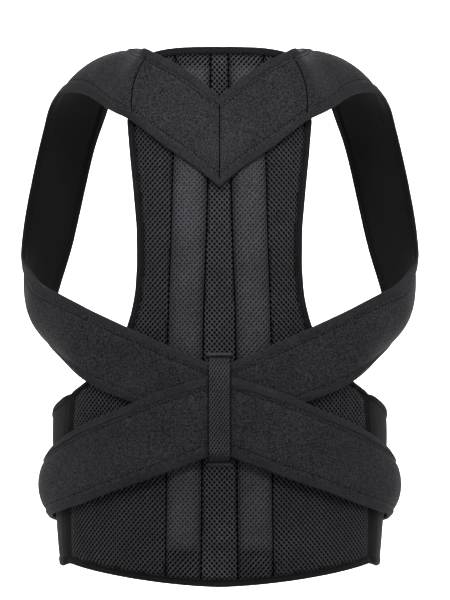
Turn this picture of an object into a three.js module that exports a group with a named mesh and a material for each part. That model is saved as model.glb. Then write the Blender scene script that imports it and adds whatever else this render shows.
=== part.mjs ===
// Posture corrector: a mesh back panel with two stay pockets, a V yoke, two shoulder straps that run
// round the arms and back to the spine, two waist straps over them, a keeper loop and a belt that
// closes in front. Millimetres, Z up, X to the right seen from behind, Y towards the wearer's front.
// The origin is the middle of the panel's inner face, on the spine.
import * as THREE from "three";

// Body that it is worn on
const backLength = 457; // panel from neck edge to hem, on the spine
const torsoDepth = 200; // back to front inside the belt
const waistWidth = 291; // side to side inside the belt
const spineCurve = 8; // how far the spine's curve sways
const strapSpan = 359; // side to side between the middles of the straps at the arms, widest place

// Back panel
const panelInset = 11.5; // from the belt's inside to the panel's widest place, on each side
const panelThick = 5;
const panelPuff = 1.4; // how far the mesh swells between seams
const hemRise = 11; // how far the hem climbs from the spine to the corners
const neckDip = 4; // how far the neck edge falls from the spine to the corners
const channelWidth = 30.6; // between the pockets, at the hem
const pocketWidth = 29;
const pocketThick = 1.2;
const pocketPuff = 1.3;
const sewMargin = 0.5; // cloth between a tape and the next seam

// Straps
const strapWidth = 60;
const strapThick = 2.4;
const bandWidth = 5; // tape that shows on each face
const bandThick = 0.8;
const clear = 0.3; // between a piece and the one it is sewn or laid on
const seamGap = 0.4; // between the panel's side and the belt wing sewn to it
const tapeClear = 0.46; // between a folded tape and the cloth in it
const layerClear = 0.7; // between a strap and what it crosses
const seamBow = 8; // how far the yoke seam bows towards the arm

// Belt wings
const wingThick = 3;
const wingOverlap = 70; // how far the belt ends lie over each other in front
const closureWidth = 46;
const closureHeight = 84;
const closureThick = 1.2;

// Keeper loop
const keeperWidth = 18.7;
const keeperThick = 1.6;
const keeperPuff = 0.5;
const keeperLength = 95; // between the two folds, measured upright
const keeperMiddle = -79; // height of its middle
const foldWidth = 20.7;
const foldTall = 4;
const foldThick = 2;

// Layers, each measured outwards from the wearer's skin
const strapStack = strapThick + 2 * (tapeClear + bandThick);
const pocketTop = panelThick + clear + pocketThick + pocketPuff;
const underLayer = pocketTop + layerClear + strapStack / 2;
const overLayer = underLayer + strapStack + layerClear;
const beltLayer = panelThick + panelPuff + clear + strapStack / 2;
const keeperLayer = overLayer + strapStack / 2 + clear + keeperThick / 2;

const panelWidest = waistWidth - 2 * panelInset;
const halfLength = backLength / 2;
const halfSpan = strapSpan / 2;
const halfDepth = torsoDepth / 2;

// Rows of the panel, down the spine. up: share of half the back length. half: share of half the
// panel's widest place. girth: share of half the waist width, for the body's own curve.
// channel: share of half the channel width.
const panelRows = [
  { up: 1.0, half: 0.37, girth: 1.2, channel: 0.48 },
  { up: 0.93, half: 0.41, girth: 1.2, channel: 0.49 },
  { up: 0.81, half: 0.49, girth: 1.2, channel: 0.53 },
  { up: 0.72, half: 0.575, girth: 1.2, channel: 0.56 },
  { up: 0.6, half: 0.568, girth: 1.2, channel: 0.6 },
  { up: 0.47, half: 0.544, girth: 1.2, channel: 0.65 },
  { up: 0.33, half: 0.526, girth: 1.2, channel: 0.7 },
  { up: 0.19, half: 0.526, girth: 1.2, channel: 0.77 },
  { up: 0.09, half: 0.541, girth: 1.2, channel: 0.83 },
  { up: 0.02, half: 0.565, girth: 1.19, channel: 0.86 },
  { up: -0.05, half: 0.596, girth: 1.17, channel: 0.88 },
  { up: -0.11, half: 0.65, girth: 1.13, channel: 0.89 },
  { up: -0.18, half: 0.745, girth: 1.07, channel: 0.9 },
  { up: -0.25, half: 0.835, girth: 1.02, channel: 0.91 },
  { up: -0.3, half: 0.955, girth: 1.0, channel: 0.92 },
  { up: -0.48, half: 0.97, girth: 1.0, channel: 0.94 },
  { up: -0.7, half: 0.985, girth: 0.985, channel: 0.96 },
  { up: -0.87, half: 1.0, girth: 0.965, channel: 0.99 },
  { up: -1.0, half: 0.985, girth: 0.95, channel: 1.0 },
];
const beltTopRow = 14; // first row that the belt wings are sewn to
const pocketFirstRow = 1; // first row that the pockets are sewn to
const pocketLastRow = panelRows.length - 2;

// Sway of the spine. sway: share of the spine curve, forward positive.
const spineRows = [
  { up: 1.2, sway: 1.6 },
  { up: 1.0, sway: 1.0 },
  { up: 0.5, sway: -0.5 },
  { up: 0.0, sway: 0.0 },
  { up: -0.45, sway: 0.5 },
  { up: -1.0, sway: -0.6 },
];

// Stations of the yoke and shoulder strap, from the spine outwards, over the shoulder, down the
// front, under the arm and back to the spine. out, fore, up: shares of half the strap span, the
// torso depth and half the back length, for the strap's middle. tip: degrees from upright of the
// line from its arm edge to its neck edge. turn: where that line points in plan, 0 sideways, 90
// forwards. wide: share of the strap width. laid: 1 where it lies on the panel, 0 where it is free.
// crown: share of the strap width that its middle stands out.
const shoulderStations = [
  { out: 0.0, fore: -0.05, up: 0.645, tip: 0, turn: 0, wide: 1.25, laid: 1, crown: 0 },
  { out: 0.1, fore: -0.05, up: 0.705, tip: 1, turn: 0, wide: 1.19, laid: 1, crown: 0 },
  { out: 0.235, fore: -0.03, up: 0.78, tip: 7, turn: 0, wide: 1.12, laid: 1, crown: 0 },
  { out: 0.37, fore: -0.01, up: 0.858, tip: 13, turn: 4, wide: 1.04, laid: 1, crown: 0.02 },
  { out: 0.445, fore: 0.095, up: 0.898, tip: 29, turn: 24, wide: 1.02, laid: 0.05, crown: 0.12 },
  { out: 0.53, fore: 0.27, up: 0.925, tip: 49, turn: 26, wide: 1.02, laid: 0, crown: 0.2 },
  { out: 0.625, fore: 0.44, up: 0.92, tip: 65, turn: 24, wide: 1.03, laid: 0, crown: 0.18 },
  { out: 0.693, fore: 0.61, up: 0.862, tip: 74, turn: 22, wide: 1.02, laid: 0, crown: 0.08 },
  { out: 0.745, fore: 0.74, up: 0.77, tip: 74, turn: 22, wide: 1.0, laid: 0, crown: 0.03 },
  { out: 0.797, fore: 0.825, up: 0.64, tip: 76, turn: 25, wide: 0.97, laid: 0, crown: 0.02 },
  { out: 0.847, fore: 0.86, up: 0.457, tip: 84, turn: 31, wide: 0.96, laid: 0, crown: 0.02 },
  { out: 0.882, fore: 0.84, up: 0.297, tip: 96, turn: 41, wide: 0.97, laid: 0, crown: 0.05 },
  { out: 0.908, fore: 0.735, up: 0.17, tip: 113, turn: 55, wide: 0.99, laid: 0, crown: 0.13 },
  { out: 0.9, fore: 0.56, up: 0.088, tip: 134, turn: 67, wide: 1.02, laid: 0, crown: 0.2 },
  { out: 0.852, fore: 0.38, up: 0.013, tip: 148, turn: 74, wide: 1.04, laid: 0, crown: 0.22 },
  { out: 0.756, fore: 0.22, up: -0.045, tip: 160, turn: 78, wide: 1.06, laid: 0.2, crown: 0.13 },
  { out: 0.609, fore: 0.085, up: -0.12, tip: 171, turn: 80, wide: 1.05, laid: 0.9, crown: 0.03 },
  { out: 0.41, fore: 0.0, up: -0.188, tip: 172, turn: 40, wide: 1.06, laid: 1, crown: 0 },
  { out: 0.196, fore: -0.04, up: -0.264, tip: 176, turn: 10, wide: 1.04, laid: 1, crown: 0 },
  { out: 0.0, fore: -0.05, up: -0.331, tip: 180, turn: 0, wide: 1.03, laid: 1, crown: 0 },
];
const seamStation = 3; // number of the station where the yoke ends

// Stations of the waist strap, from the spine round to the front. round: degrees about the body,
// 0 at the spine. up: share of half the back length. wide: share of the strap width. over: 1 where
// it lies over the shoulder strap. crown: share of the strap width that its middle stands out.
const waistStations = [
  { round: 0, up: -0.358, wide: 1.06, over: 1, crown: 0 },
  { round: 9, up: -0.395, wide: 1.1, over: 1, crown: 0 },
  { round: 20, up: -0.443, wide: 1.13, over: 1, crown: 0 },
  { round: 33, up: -0.5, wide: 1.09, over: 0.92, crown: 0 },
  { round: 49, up: -0.56, wide: 1.07, over: 0.3, crown: 0.01 },
  { round: 65, up: -0.612, wide: 0.97, over: 0, crown: 0.06 },
  { round: 85, up: -0.665, wide: 0.86, over: 0, crown: 0.13 },
  { round: 105, up: -0.695, wide: 0.9, over: 0, crown: 0.1 },
  { round: 130, up: -0.72, wide: 0.95, over: 0, crown: 0.02 },
  { round: 158, up: -0.72, wide: 0.97, over: 0, crown: 0 },
];

// Edges of a belt wing, from the panel round to the front. along: share of the way. top, bottom:
// shares of half the back length.
const wingStations = [
  { along: 0, top: -0.3, bottom: -0.95 },
  { along: 0.06, top: -0.33, bottom: -0.965 },
  { along: 0.14, top: -0.362, bottom: -0.968 },
  { along: 0.22, top: -0.385, bottom: -0.966 },
  { along: 0.4, top: -0.41, bottom: -0.955 },
  { along: 0.65, top: -0.43, bottom: -0.935 },
  { along: 0.95, top: -0.44, bottom: -0.92 },
  { along: 1, top: -0.455, bottom: -0.905 },
];

// Run of the keeper loop. along: share of half its length. rise: 0 on the panel, 1 over the straps.
const keeperStations = [
  { along: 1, rise: 0 },
  { along: 0.93, rise: 0.06 },
  { along: 0.78, rise: 0.75 },
  { along: 0.63, rise: 1 },
  { along: 0, rise: 1 },
  { along: -0.5, rise: 1 },
  { along: -0.83, rise: 1 },
  { along: -0.95, rise: 0.1 },
  { along: -1, rise: 0 },
];

const cloths = {
  mesh: [0x26262a, 0.95],
  pocket: [0x333338, 0.9],
  loop: [0x2b2b2f, 0.98],
  tape: [0x1f1f22, 0.8],
  lining: [0x1b1b1f, 0.9],
  plain: [0x222226, 0.85],
};

// Value of one column at a place in a table whose key falls or rises from row to row
function look(rows, key, place, column) {
  const rising = rows[rows.length - 1][key] > rows[0][key];
  let i = 0;
  while (i < rows.length - 2 && (rising ? place > rows[i + 1][key] : place < rows[i + 1][key])) i++;
  const span = rows[i + 1][key] - rows[i][key];
  const share = Math.min(1, Math.max(0, (place - rows[i][key]) / span));
  return rows[i][column] + share * (rows[i + 1][column] - rows[i][column]);
}

// Smooth value of one column at a station number that may lie between two stations
function smooth(stations, at, column) {
  const last = stations.length - 1;
  const i = Math.min(last - 1, Math.max(0, Math.floor(at)));
  const t = at - i;
  const b = stations[i][column];
  const c = stations[i + 1][column];
  const a = i > 0 ? stations[i - 1][column] : 2 * b - c;
  const d = i < last - 1 ? stations[i + 2][column] : 2 * c - b;
  return b + 0.5 * t * (c - a + t * (2 * a - 5 * b + 4 * c - d + t * (3 * (b - c) + d - a)));
}

const girthAt = (z) => (look(panelRows, "up", z / halfLength, "girth") * waistWidth) / 2;

// A point of the worn piece: the spine's sway moves everything at its height
function place(x, y, z) {
  return new THREE.Vector3(x, y + spineCurve * look(spineRows, "up", z / halfLength, "sway"), z);
}

// A spot of a cloth: its point and the way outwards there
const spot = (p, n) => ({ p, n });
const shifted = (p, n, by) => p.clone().addScaledVector(n, by);

// A spot at a height, so many degrees round the body and so far off the skin
function roundBody(side, degrees, z, off) {
  const a = THREE.MathUtils.degToRad(degrees);
  const outwards = new THREE.Vector3(side * Math.sin(a), -Math.cos(a), 0);
  const x = side * (girthAt(z) + off) * Math.sin(a);
  return spot(place(x, halfDepth - (halfDepth + off) * Math.cos(a), z), outwards);
}

// How far forward a piece lies on the back at a place, so far off the skin
function backDepth(x, z, off) {
  const share = Math.min(0.97, Math.abs(x) / (girthAt(z) + off));
  return halfDepth - (halfDepth + off) * Math.sqrt(1 - share * share);
}

// A spot of a strap whose points follow a function of its run and of the way across it
function strapSpot(side, point, at, across) {
  const d = 0.01;
  const run = point(at + d, across).sub(point(at - d, across));
  const width = point(at, across + d).sub(point(at, across - d));
  return spot(point(at, across), run.cross(width).normalize().multiplyScalar(-side));
}

// Spots from rows of points that run down the back
function withNormals(rows) {
  return rows.map((line, r) => line.map((p, c) => {
    const down = rows[Math.min(rows.length - 1, r + 1)][c].clone().sub(rows[Math.max(0, r - 1)][c]);
    const across = line[Math.min(line.length - 1, c + 1)].clone().sub(line[Math.max(0, c - 1)]);
    return spot(p, down.cross(across).normalize());
  }));
}

// A closed body from corners and faces, turned to face outwards
function body(corners, faces) {
  const triangles = [];
  for (const f of faces) for (let i = 2; i < f.length; i++) triangles.push([f[0], f[i - 1], f[i]]);
  const volume = triangles.reduce((sum, [a, b, c]) =>
    sum + corners[a].dot(new THREE.Vector3().crossVectors(corners[b], corners[c])), 0);
  if (volume < 0) for (const t of triangles) t.reverse();
  const geometry = new THREE.BufferGeometry().setFromPoints(corners);
  geometry.setIndex(triangles.flat());
  geometry.computeVertexNormals();
  return geometry;
}

// A cloth piece over a grid of spots: inner and outer give how far each face lies off the grid
function cloth(grid, inner, outer) {
  const rows = grid.length;
  const cols = grid[0].length;
  const corners = [];
  for (const face of [inner, outer]) {
    grid.forEach((line, r) => line.forEach(({ p, n }, c) => corners.push(shifted(p, n, face(r, c)))));
  }
  const id = (layer, r, c) => layer * rows * cols + r * cols + c;
  const faces = [];
  for (let r = 0; r + 1 < rows; r++) {
    for (let c = 0; c + 1 < cols; c++) {
      faces.push([id(0, r, c), id(0, r + 1, c), id(0, r + 1, c + 1), id(0, r, c + 1)]);
      faces.push([id(1, r + 1, c + 1), id(1, r + 1, c), id(1, r, c), id(1, r, c + 1)]);
    }
    for (const c of [0, cols - 1]) {
      const side = [id(0, r, c), id(1, r, c), id(1, r + 1, c), id(0, r + 1, c)];
      faces.push(c ? side.reverse() : side);
    }
  }
  for (let c = 0; c + 1 < cols; c++) {
    for (const r of [0, rows - 1]) {
      const end = [id(0, r, c), id(0, r, c + 1), id(1, r, c + 1), id(1, r, c)];
      faces.push(r ? end.reverse() : end);
    }
  }
  return body(corners, faces);
}

// Folded tape over an edge of a grid. path: pairs of an edge place and the next place inwards.
// Its faces are split along the same diagonals as the cloth's, so the two stay parallel.
const tapeRing = ["in", "edge", "edge", "in", "in", "edge", "edge", "in"];
function tape(grid, path, inner, outer) {
  const top = outer + tapeClear;
  const low = inner - tapeClear;
  const lifts = [top + bandThick, top + bandThick, low - bandThick, low - bandThick, low, low, top, top];
  const corners = path.flatMap(([[r, c], [ri, ci]]) => {
    const { p, n } = grid[r][c];
    const q = grid[ri][ci];
    const run = p.distanceTo(q.p);
    const inwards = q.p.clone().sub(p).normalize();
    const deepNormal = n.clone().lerp(q.n, bandWidth / run);
    return lifts.map((lift, i) => {
      if (tapeRing[i] === "in") return shifted(shifted(p, inwards, bandWidth), deepNormal, lift);
      return shifted(shifted(p, inwards, i < 4 ? -tapeClear - bandThick : -tapeClear), n, lift);
    });
  });
  const size = tapeRing.length;
  const faces = [];
  for (let i = 0; i + 1 < path.length; i++) {
    const [r, c] = path[i][0];
    const [ri, ci] = path[i + 1][1];
    const edgeFirst = (r - ri) * (c - ci) > 0;
    for (let j = 0; j < size; j++) {
      const k = (j + 1) % size;
      const quad = [i * size + j, i * size + k, (i + 1) * size + k, (i + 1) * size + j];
      const startsAtEdge = tapeRing[j] === "edge";
      faces.push(startsAtEdge === edgeFirst ? quad : [quad[1], quad[2], quad[3], quad[0]]);
    }
  }
  const last = (path.length - 1) * size;
  for (const f of [[0, 1, 6, 7], [1, 2, 5, 6], [2, 3, 4, 5]]) {
    faces.push([...f].reverse());
    faces.push(f.map((j) => last + j));
  }
  return body(corners, faces);
}

// Path of edge places down one side of a grid, across its last row and back up the other side
function roundEnd(grid) {
  const tail = grid.length - 1;
  const far = grid[0].length - 1;
  const path = grid.slice(0, tail).map((_, r) => [[r, 0], [r, 1]]);
  path.push([[tail, 0], [tail - 1, 1]]);
  for (let c = 1; c < far; c++) path.push([[tail, c], [tail - 1, c]]);
  path.push([[tail, far], [tail - 1, far - 1]]);
  for (let r = tail - 1; r >= 0; r--) path.push([[r, far], [r, far - 1]]);
  return path;
}

// The belt's right end lies over its left end in front, so it stands out there
const frontEnd = THREE.MathUtils.radToDeg(Math.asin(wingOverlap / waistWidth));
const liftStart = 180 - 2.2 * frontEnd;
const liftEnd = 180 - 1.15 * frontEnd;
const closureLift = wingThick + 2 * (tapeClear + bandThick) + closureThick + 2 * clear;
const wingLift = (side, degrees) =>
  (side > 0 ? closureLift * THREE.MathUtils.smoothstep(degrees, liftStart, liftEnd) : 0);

const group = new THREE.Group();
group.name = "posture_corrector";

function add(name, geometry, kind) {
  const [color, roughness] = cloths[kind];
  const mesh = new THREE.Mesh(geometry, new THREE.MeshStandardMaterial({ color, roughness, metalness: 0 }));
  mesh.name = name;
  group.add(mesh);
}

// Back panel: columns across each row follow the seams, and it is never too narrow for them
const quarters = [0.25, 0.5, 0.75];
const innerSeam = (row) => (row.channel * channelWidth) / 2;
const panelHalf = (row) =>
  Math.max((row.half * panelWidest) / 2, innerSeam(row) + pocketWidth + bandWidth + 2 * sewMargin);
function panelColumns(row) {
  const seam = innerSeam(row);
  const outerSeam = seam + pocketWidth;
  const edge = panelHalf(row) - bandWidth - sewMargin;
  const right = [seam / 2, seam, ...quarters.map((q) => seam + q * pocketWidth), outerSeam,
    (outerSeam + edge) / 2, edge, panelHalf(row)];
  return [...right.map((x) => -x).reverse(), 0, ...right];
}
const seamColumn = 2; // counted from the spine
const outerSeamColumn = seamColumn + quarters.length + 1;
const middleColumn = (panelColumns(panelRows[0]).length - 1) / 2;
const lastColumn = 2 * middleColumn;
const lastRow = panelRows.length - 1;
const panelGrid = panelRows.map((row, r) => panelColumns(row).map((x) => {
  const share = Math.abs(x) / panelHalf(row);
  const drop = r === 0 ? neckDip * share ** 2 : 0;
  const rise = r === lastRow ? hemRise * share ** 1.7 : 0;
  const z = row.up * halfLength - drop + rise;
  const girth = x / girthAt(z);
  return spot(place(x, backDepth(x, z, 0), z), new THREE.Vector3(girth, -Math.sqrt(1 - girth * girth), 0));
}));
const isPuffed = (c) => {
  const k = Math.abs(c - middleColumn);
  return k < seamColumn || k === outerSeamColumn + 1;
};
const innerRow = (r) => r > 1 && r < lastRow - 1;
const panelOuter = (r, c) => panelThick + (isPuffed(c) && innerRow(r) ? panelPuff : 0);
add("back_panel", cloth(panelGrid, () => 0, panelOuter), "mesh");

for (const [name, side] of [["left", -1], ["right", 1]]) {
  const from = middleColumn + (side < 0 ? -outerSeamColumn : seamColumn);
  const grid = panelGrid.slice(pocketFirstRow, pocketLastRow + 1).map((line) => line.slice(from, from + 5));
  const swell = [0, 0.75, 1, 0.75, 0];
  add(`stay_pocket_${name}`, cloth(grid, () => panelThick + clear,
    (r, c) => panelThick + clear + pocketThick + pocketPuff * swell[c]), "pocket");
}

const upperPath = [];
for (let r = beltTopRow; r > 0; r--) upperPath.push([[r, 0], [r, 1]]);
upperPath.push([[0, 0], [1, 1]]);
for (let c = 1; c < lastColumn; c++) upperPath.push([[0, c], [1, c]]);
upperPath.push([[0, lastColumn], [1, lastColumn - 1]]);
for (let r = 1; r <= beltTopRow; r++) upperPath.push([[r, lastColumn], [r, lastColumn - 1]]);
add("panel_edge_binding", tape(panelGrid, upperPath, 0, panelThick), "tape");
const hemPath = panelGrid[0].map((_, c) => [[lastRow, c], [lastRow - 1, c]]);
add("panel_hem_binding", tape(panelGrid, hemPath, 0, panelThick), "tape");

// Point of the yoke and shoulder strap laid flat across: at a station number, across from its neck
// edge 0 to its arm edge 1
function flatShoulderPoint(side, at, across) {
  const value = (column) => smooth(shoulderStations, at, column);
  const tip = THREE.MathUtils.degToRad(value("tip"));
  const turn = THREE.MathUtils.degToRad(value("turn"));
  const reach = (0.5 - across) * value("wide") * strapWidth;
  const x = Math.max(0, value("out") * halfSpan - reach * Math.sin(tip) * Math.cos(turn));
  const z = value("up") * halfLength + reach * Math.cos(tip);
  const free = value("fore") * torsoDepth + reach * Math.sin(tip) * Math.sin(turn);
  const y = THREE.MathUtils.lerp(free, backDepth(x, z, underLayer), value("laid"));
  return place(side * x, y, z);
}

// The same with its crown
function shoulderPoint(side, at, across) {
  const { p, n } = strapSpot(side, (a, v) => flatShoulderPoint(side, a, v), at, across);
  const crown = Math.max(0, smooth(shoulderStations, at, "crown"));
  return shifted(p, n, crown * strapWidth * (1 - (2 * across - 1) ** 2));
}

// Point of the waist strap, across from top edge 0 to bottom edge 1
function waistPoint(side, at, across) {
  const value = (column) => smooth(waistStations, at, column);
  const z = value("up") * halfLength + (0.5 - across) * value("wide") * strapWidth;
  const bulge = value("crown") * strapWidth * (1 - (2 * across - 1) ** 2);
  const layer = THREE.MathUtils.lerp(beltLayer, overLayer, Math.min(1, value("over")));
  return roundBody(side, value("round"), z, layer + bulge + wingLift(side, value("round"))).p;
}

// Grid of a strap between two station numbers, with its ends shaped by a shift along the run
const edgeShare = (bandWidth + sewMargin) / strapWidth;
const strapAcross = [0, edgeShare, 0.32, 0.5, 0.68, 1 - edgeShare, 1];
function strapGrid(side, point, from, to, steps, shift) {
  return Array.from({ length: steps + 1 }, (_, i) => strapAcross.map((across) => {
    const at = from + ((to - from) * i) / steps;
    return strapSpot(side, point, at + shift(i / steps, across), across);
  }));
}
const sidePath = (grid, c, ci) => grid.map((_, r) => [[r, c], [r, ci]]);
const half = strapThick / 2;
const across = strapAcross.length - 1;

for (const [name, side] of [["left", -1], ["right", 1]]) {
  const point = (at, v) => shoulderPoint(side, at, v);
  const stationRun = point(seamStation, 0.5).distanceTo(point(seamStation + 1, 0.5));
  const bow = (v) => (seamBow / stationRun) * (1 - (2 * v - 1) ** 2);
  const sewn = clear / stationRun;
  const spineGap = clear / point(0, 0.5).distanceTo(point(1, 0.5));

  const yoke = strapGrid(side, point, spineGap, seamStation, 8, (t, v) => bow(v) * t ** 3);
  add(`yoke_${name}`, cloth(yoke, () => -half, () => half), "loop");
  add(`yoke_${name}_neck_binding`, tape(yoke, sidePath(yoke, 0, 1), -half, half), "tape");
  add(`yoke_${name}_lower_binding`, tape(yoke, sidePath(yoke, across, across - 1), -half, half), "tape");

  const end = shoulderStations.length - 1;
  const endGap = clear / point(end - 1, 0.5).distanceTo(point(end, 0.5));
  const strap = strapGrid(side, point, seamStation + sewn, end - endGap, 28,
    (t, v) => bow(v) * Math.max(0, 1 - 6 * t) ** 2);
  add(`shoulder_strap_${name}`, cloth(strap, () => -half, () => half), "loop");
  add(`shoulder_strap_${name}_neck_binding`, tape(strap, sidePath(strap, 0, 1), -half, half), "tape");
  const armTape = tape(strap, sidePath(strap, across, across - 1), -half, half);
  add(`shoulder_strap_${name}_arm_binding`, armTape, "tape");

  const round = (at, v) => waistPoint(side, at, v);
  const waist = strapGrid(side, round, spineGap, waistStations.length - 1, 16, () => 0);
  add(`waist_strap_${name}`, cloth(waist, () => -half, () => half), "loop");
  add(`waist_strap_${name}_binding`, tape(waist, roundEnd(waist), -half, half), "tape");
}

// Belt wings: the right one ends outside the left one, with the closure patch between them
const wingSteps = [0, 0.02, 0.06, 0.14, 0.22, 0.32, 0.42, 0.52, 0.62, 0.7, 0.78, 0.86, 0.93, 1];
const wingTall = (wingStations[0].top - wingStations[0].bottom) * halfLength;
const wingEdge = (bandWidth + sewMargin) / wingTall;
const wingAcross = [0, wingEdge, ...panelRows.slice(beltTopRow + 1, -1).map((row) =>
  ((wingStations[0].top - row.up) * halfLength) / wingTall), 1 - wingEdge, 1];

// Spot on the panel's side edge at a height, moved off it by the seam's gap
function besidePanel(side, z) {
  const column = side < 0 ? 0 : lastColumn;
  let r = beltTopRow;
  while (r < lastRow - 1 && panelGrid[r + 1][column].p.z > z) r++;
  const [a, b] = [panelGrid[r][column], panelGrid[r + 1][column]];
  const t = (z - a.p.z) / (b.p.z - a.p.z);
  const n = a.n.clone().lerp(b.n, t).normalize();
  const onwards = new THREE.Vector3(0, 0, 1).cross(n).multiplyScalar(side);
  return spot(shifted(a.p.clone().lerp(b.p, t), onwards, seamGap), n);
}
for (const [name, side] of [["left", -1], ["right", 1]]) {
  const grid = wingSteps.map((along) => wingAcross.map((down) => {
    const top = look(wingStations, "along", along, "top");
    const bottom = look(wingStations, "along", along, "bottom");
    const z = THREE.MathUtils.lerp(top, bottom, down) * halfLength;
    const start = besidePanel(side, z);
    if (along === 0) return start;
    const startDegrees = THREE.MathUtils.radToDeg(Math.atan2(Math.abs(start.n.x), -start.n.y));
    const degrees = THREE.MathUtils.lerp(startDegrees, 180 + frontEnd, along);
    return roundBody(side, degrees, z, clear + tapeClear + bandThick + wingLift(side, degrees));
  }));
  add(`belt_wing_${name}`, cloth(grid, () => 0, () => wingThick), "plain");
  add(`belt_wing_${name}_binding`, tape(grid, roundEnd(grid).slice(1, -1), 0, wingThick), "tape");
}

// Closure patch between the belt ends
const closureMiddle = -0.68 * halfLength;
const patch = [-1, -0.5, 0, 0.5, 1].map((u) => [-1, -0.5, 0, 0.5, 1].map((v) => {
  const degrees = 180 + THREE.MathUtils.radToDeg(Math.asin((u * closureWidth) / waistWidth));
  return roundBody(-1, degrees, closureMiddle + (v * closureHeight) / 2, tapeClear + bandThick + wingThick);
}));
const patchLift = tapeClear + bandThick;
add("front_closure", cloth(patch, () => patchLift, () => patchLift + closureThick), "plain");

// Keeper loop over the crossing, sewn to the panel under a fold at each end
const keeperLow = panelThick + panelPuff + clear + keeperThick / 2;
const keeperGrid = keeperStations.map((row) => [-1, -0.45, 0, 0.45, 1].map((u) => {
  const z = keeperMiddle + (row.along * keeperLength) / 2;
  const off = THREE.MathUtils.lerp(keeperLow, keeperLayer, row.rise);
  return place((u * keeperWidth) / 2, backDepth(0, z, off), z);
}));
const keeperSpots = withNormals(keeperGrid);
const keeperOuter = (r, c) => keeperThick / 2 + (c % 4 ? keeperPuff : 0);
add("keeper_loop", cloth(keeperSpots, () => -keeperThick / 2, keeperOuter), "mesh");
for (const [name, up] of [["top", 1], ["bottom", -1]]) {
  const middle = keeperMiddle + up * (keeperLength / 2 + clear + foldTall / 2);
  const grid = [1, 0, -1].map((v) => [-1, -0.4, 0.4, 1].map((u) => {
    const z = middle + (v * foldTall) / 2;
    const off = panelThick + panelPuff + clear;
    return spot(place((u * foldWidth) / 2, backDepth(0, z, off), z), new THREE.Vector3(0, -1, 0));
  }));
  add(`keeper_hem_${name}`, cloth(grid, () => 0, (r) => (r === 1 ? foldThick : foldThick * 0.6)), "mesh");
}

export default group;
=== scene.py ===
# Posture corrector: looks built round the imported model, in metres, in the same frame.
import math

import bpy
import numpy as np
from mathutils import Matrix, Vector


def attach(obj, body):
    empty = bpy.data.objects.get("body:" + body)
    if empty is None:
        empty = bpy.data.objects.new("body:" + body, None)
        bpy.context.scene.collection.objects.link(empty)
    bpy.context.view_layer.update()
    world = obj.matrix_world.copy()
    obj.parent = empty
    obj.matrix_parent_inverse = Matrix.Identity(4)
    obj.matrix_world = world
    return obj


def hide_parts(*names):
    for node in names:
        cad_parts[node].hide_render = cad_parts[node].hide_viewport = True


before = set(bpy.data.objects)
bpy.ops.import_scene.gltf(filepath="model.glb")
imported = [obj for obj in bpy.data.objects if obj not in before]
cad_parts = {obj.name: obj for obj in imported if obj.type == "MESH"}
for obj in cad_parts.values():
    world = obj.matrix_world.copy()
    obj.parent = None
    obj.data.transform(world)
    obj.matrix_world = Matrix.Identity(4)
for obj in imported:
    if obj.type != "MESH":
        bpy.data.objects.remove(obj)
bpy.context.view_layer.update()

# Sizes in millimetres: the model's, some fitted a little closer to the photo's outline
MM = 0.001
BACK_LENGTH = 457
TORSO_DEPTH = 200
WAIST_WIDTH = 291
SPINE_CURVE = 8
STRAP_SPAN = 359
PANEL_INSET = 11.5  # from the belt's inside to the panel's widest place, on each side
PANEL_THICK = 5
PANEL_PUFF = 1.4
HEM_RISE = 12.4
NECK_DIP = 4
CHANNEL_WIDTH = 30.6
POCKET_WIDTH = 29
POCKET_THICK = 1.2
POCKET_PUFF = 1.3
STRAP_WIDTH = 60
STRAP_THICK = 2.4
BAND_WIDTH = 5
BAND_THICK = 0.8
SEW_MARGIN = 0.5
CLEAR = 0.3
SEAM_GAP = 0.4
TAPE_CLEAR = 0.46
LAYER_CLEAR = 0.7
SEAM_BOW = 8
WING_THICK = 3
WING_OVERLAP = 70
CLOSURE_WIDTH = 46
CLOSURE_HEIGHT = 84
CLOSURE_THICK = 1.2
KEEPER_WIDTH = 17.8
KEEPER_THICK = 1.6
KEEPER_SHADE_LIP = 1.2  # near-black edge of the keeper's strip beside its mesh: painted shadow where the straps sink towards the keeper
KEEPER_LENGTH = 89
KEEPER_MIDDLE = -79
FOLD_WIDTH = 20.7
FOLD_TALL = 3.2
FOLD_THICK = 2

# Layers off the wearer's skin
STRAP_STACK = STRAP_THICK + 2 * (TAPE_CLEAR + BAND_THICK)
POCKET_TOP = PANEL_THICK + CLEAR + POCKET_THICK + POCKET_PUFF
UNDER_LAYER = POCKET_TOP + LAYER_CLEAR + STRAP_STACK / 2
OVER_LAYER = UNDER_LAYER + STRAP_STACK + LAYER_CLEAR
PANEL_TOP = PANEL_THICK + PANEL_PUFF + CLEAR
BELT_LAYER = PANEL_TOP + STRAP_STACK / 2
KEEPER_LAYER = OVER_LAYER + STRAP_STACK / 2 + CLEAR + KEEPER_THICK / 2
PANEL_WIDEST = WAIST_WIDTH - 2 * PANEL_INSET
HALF_LENGTH = BACK_LENGTH / 2
HALF_SPAN = STRAP_SPAN / 2
HALF_DEPTH = TORSO_DEPTH / 2

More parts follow.
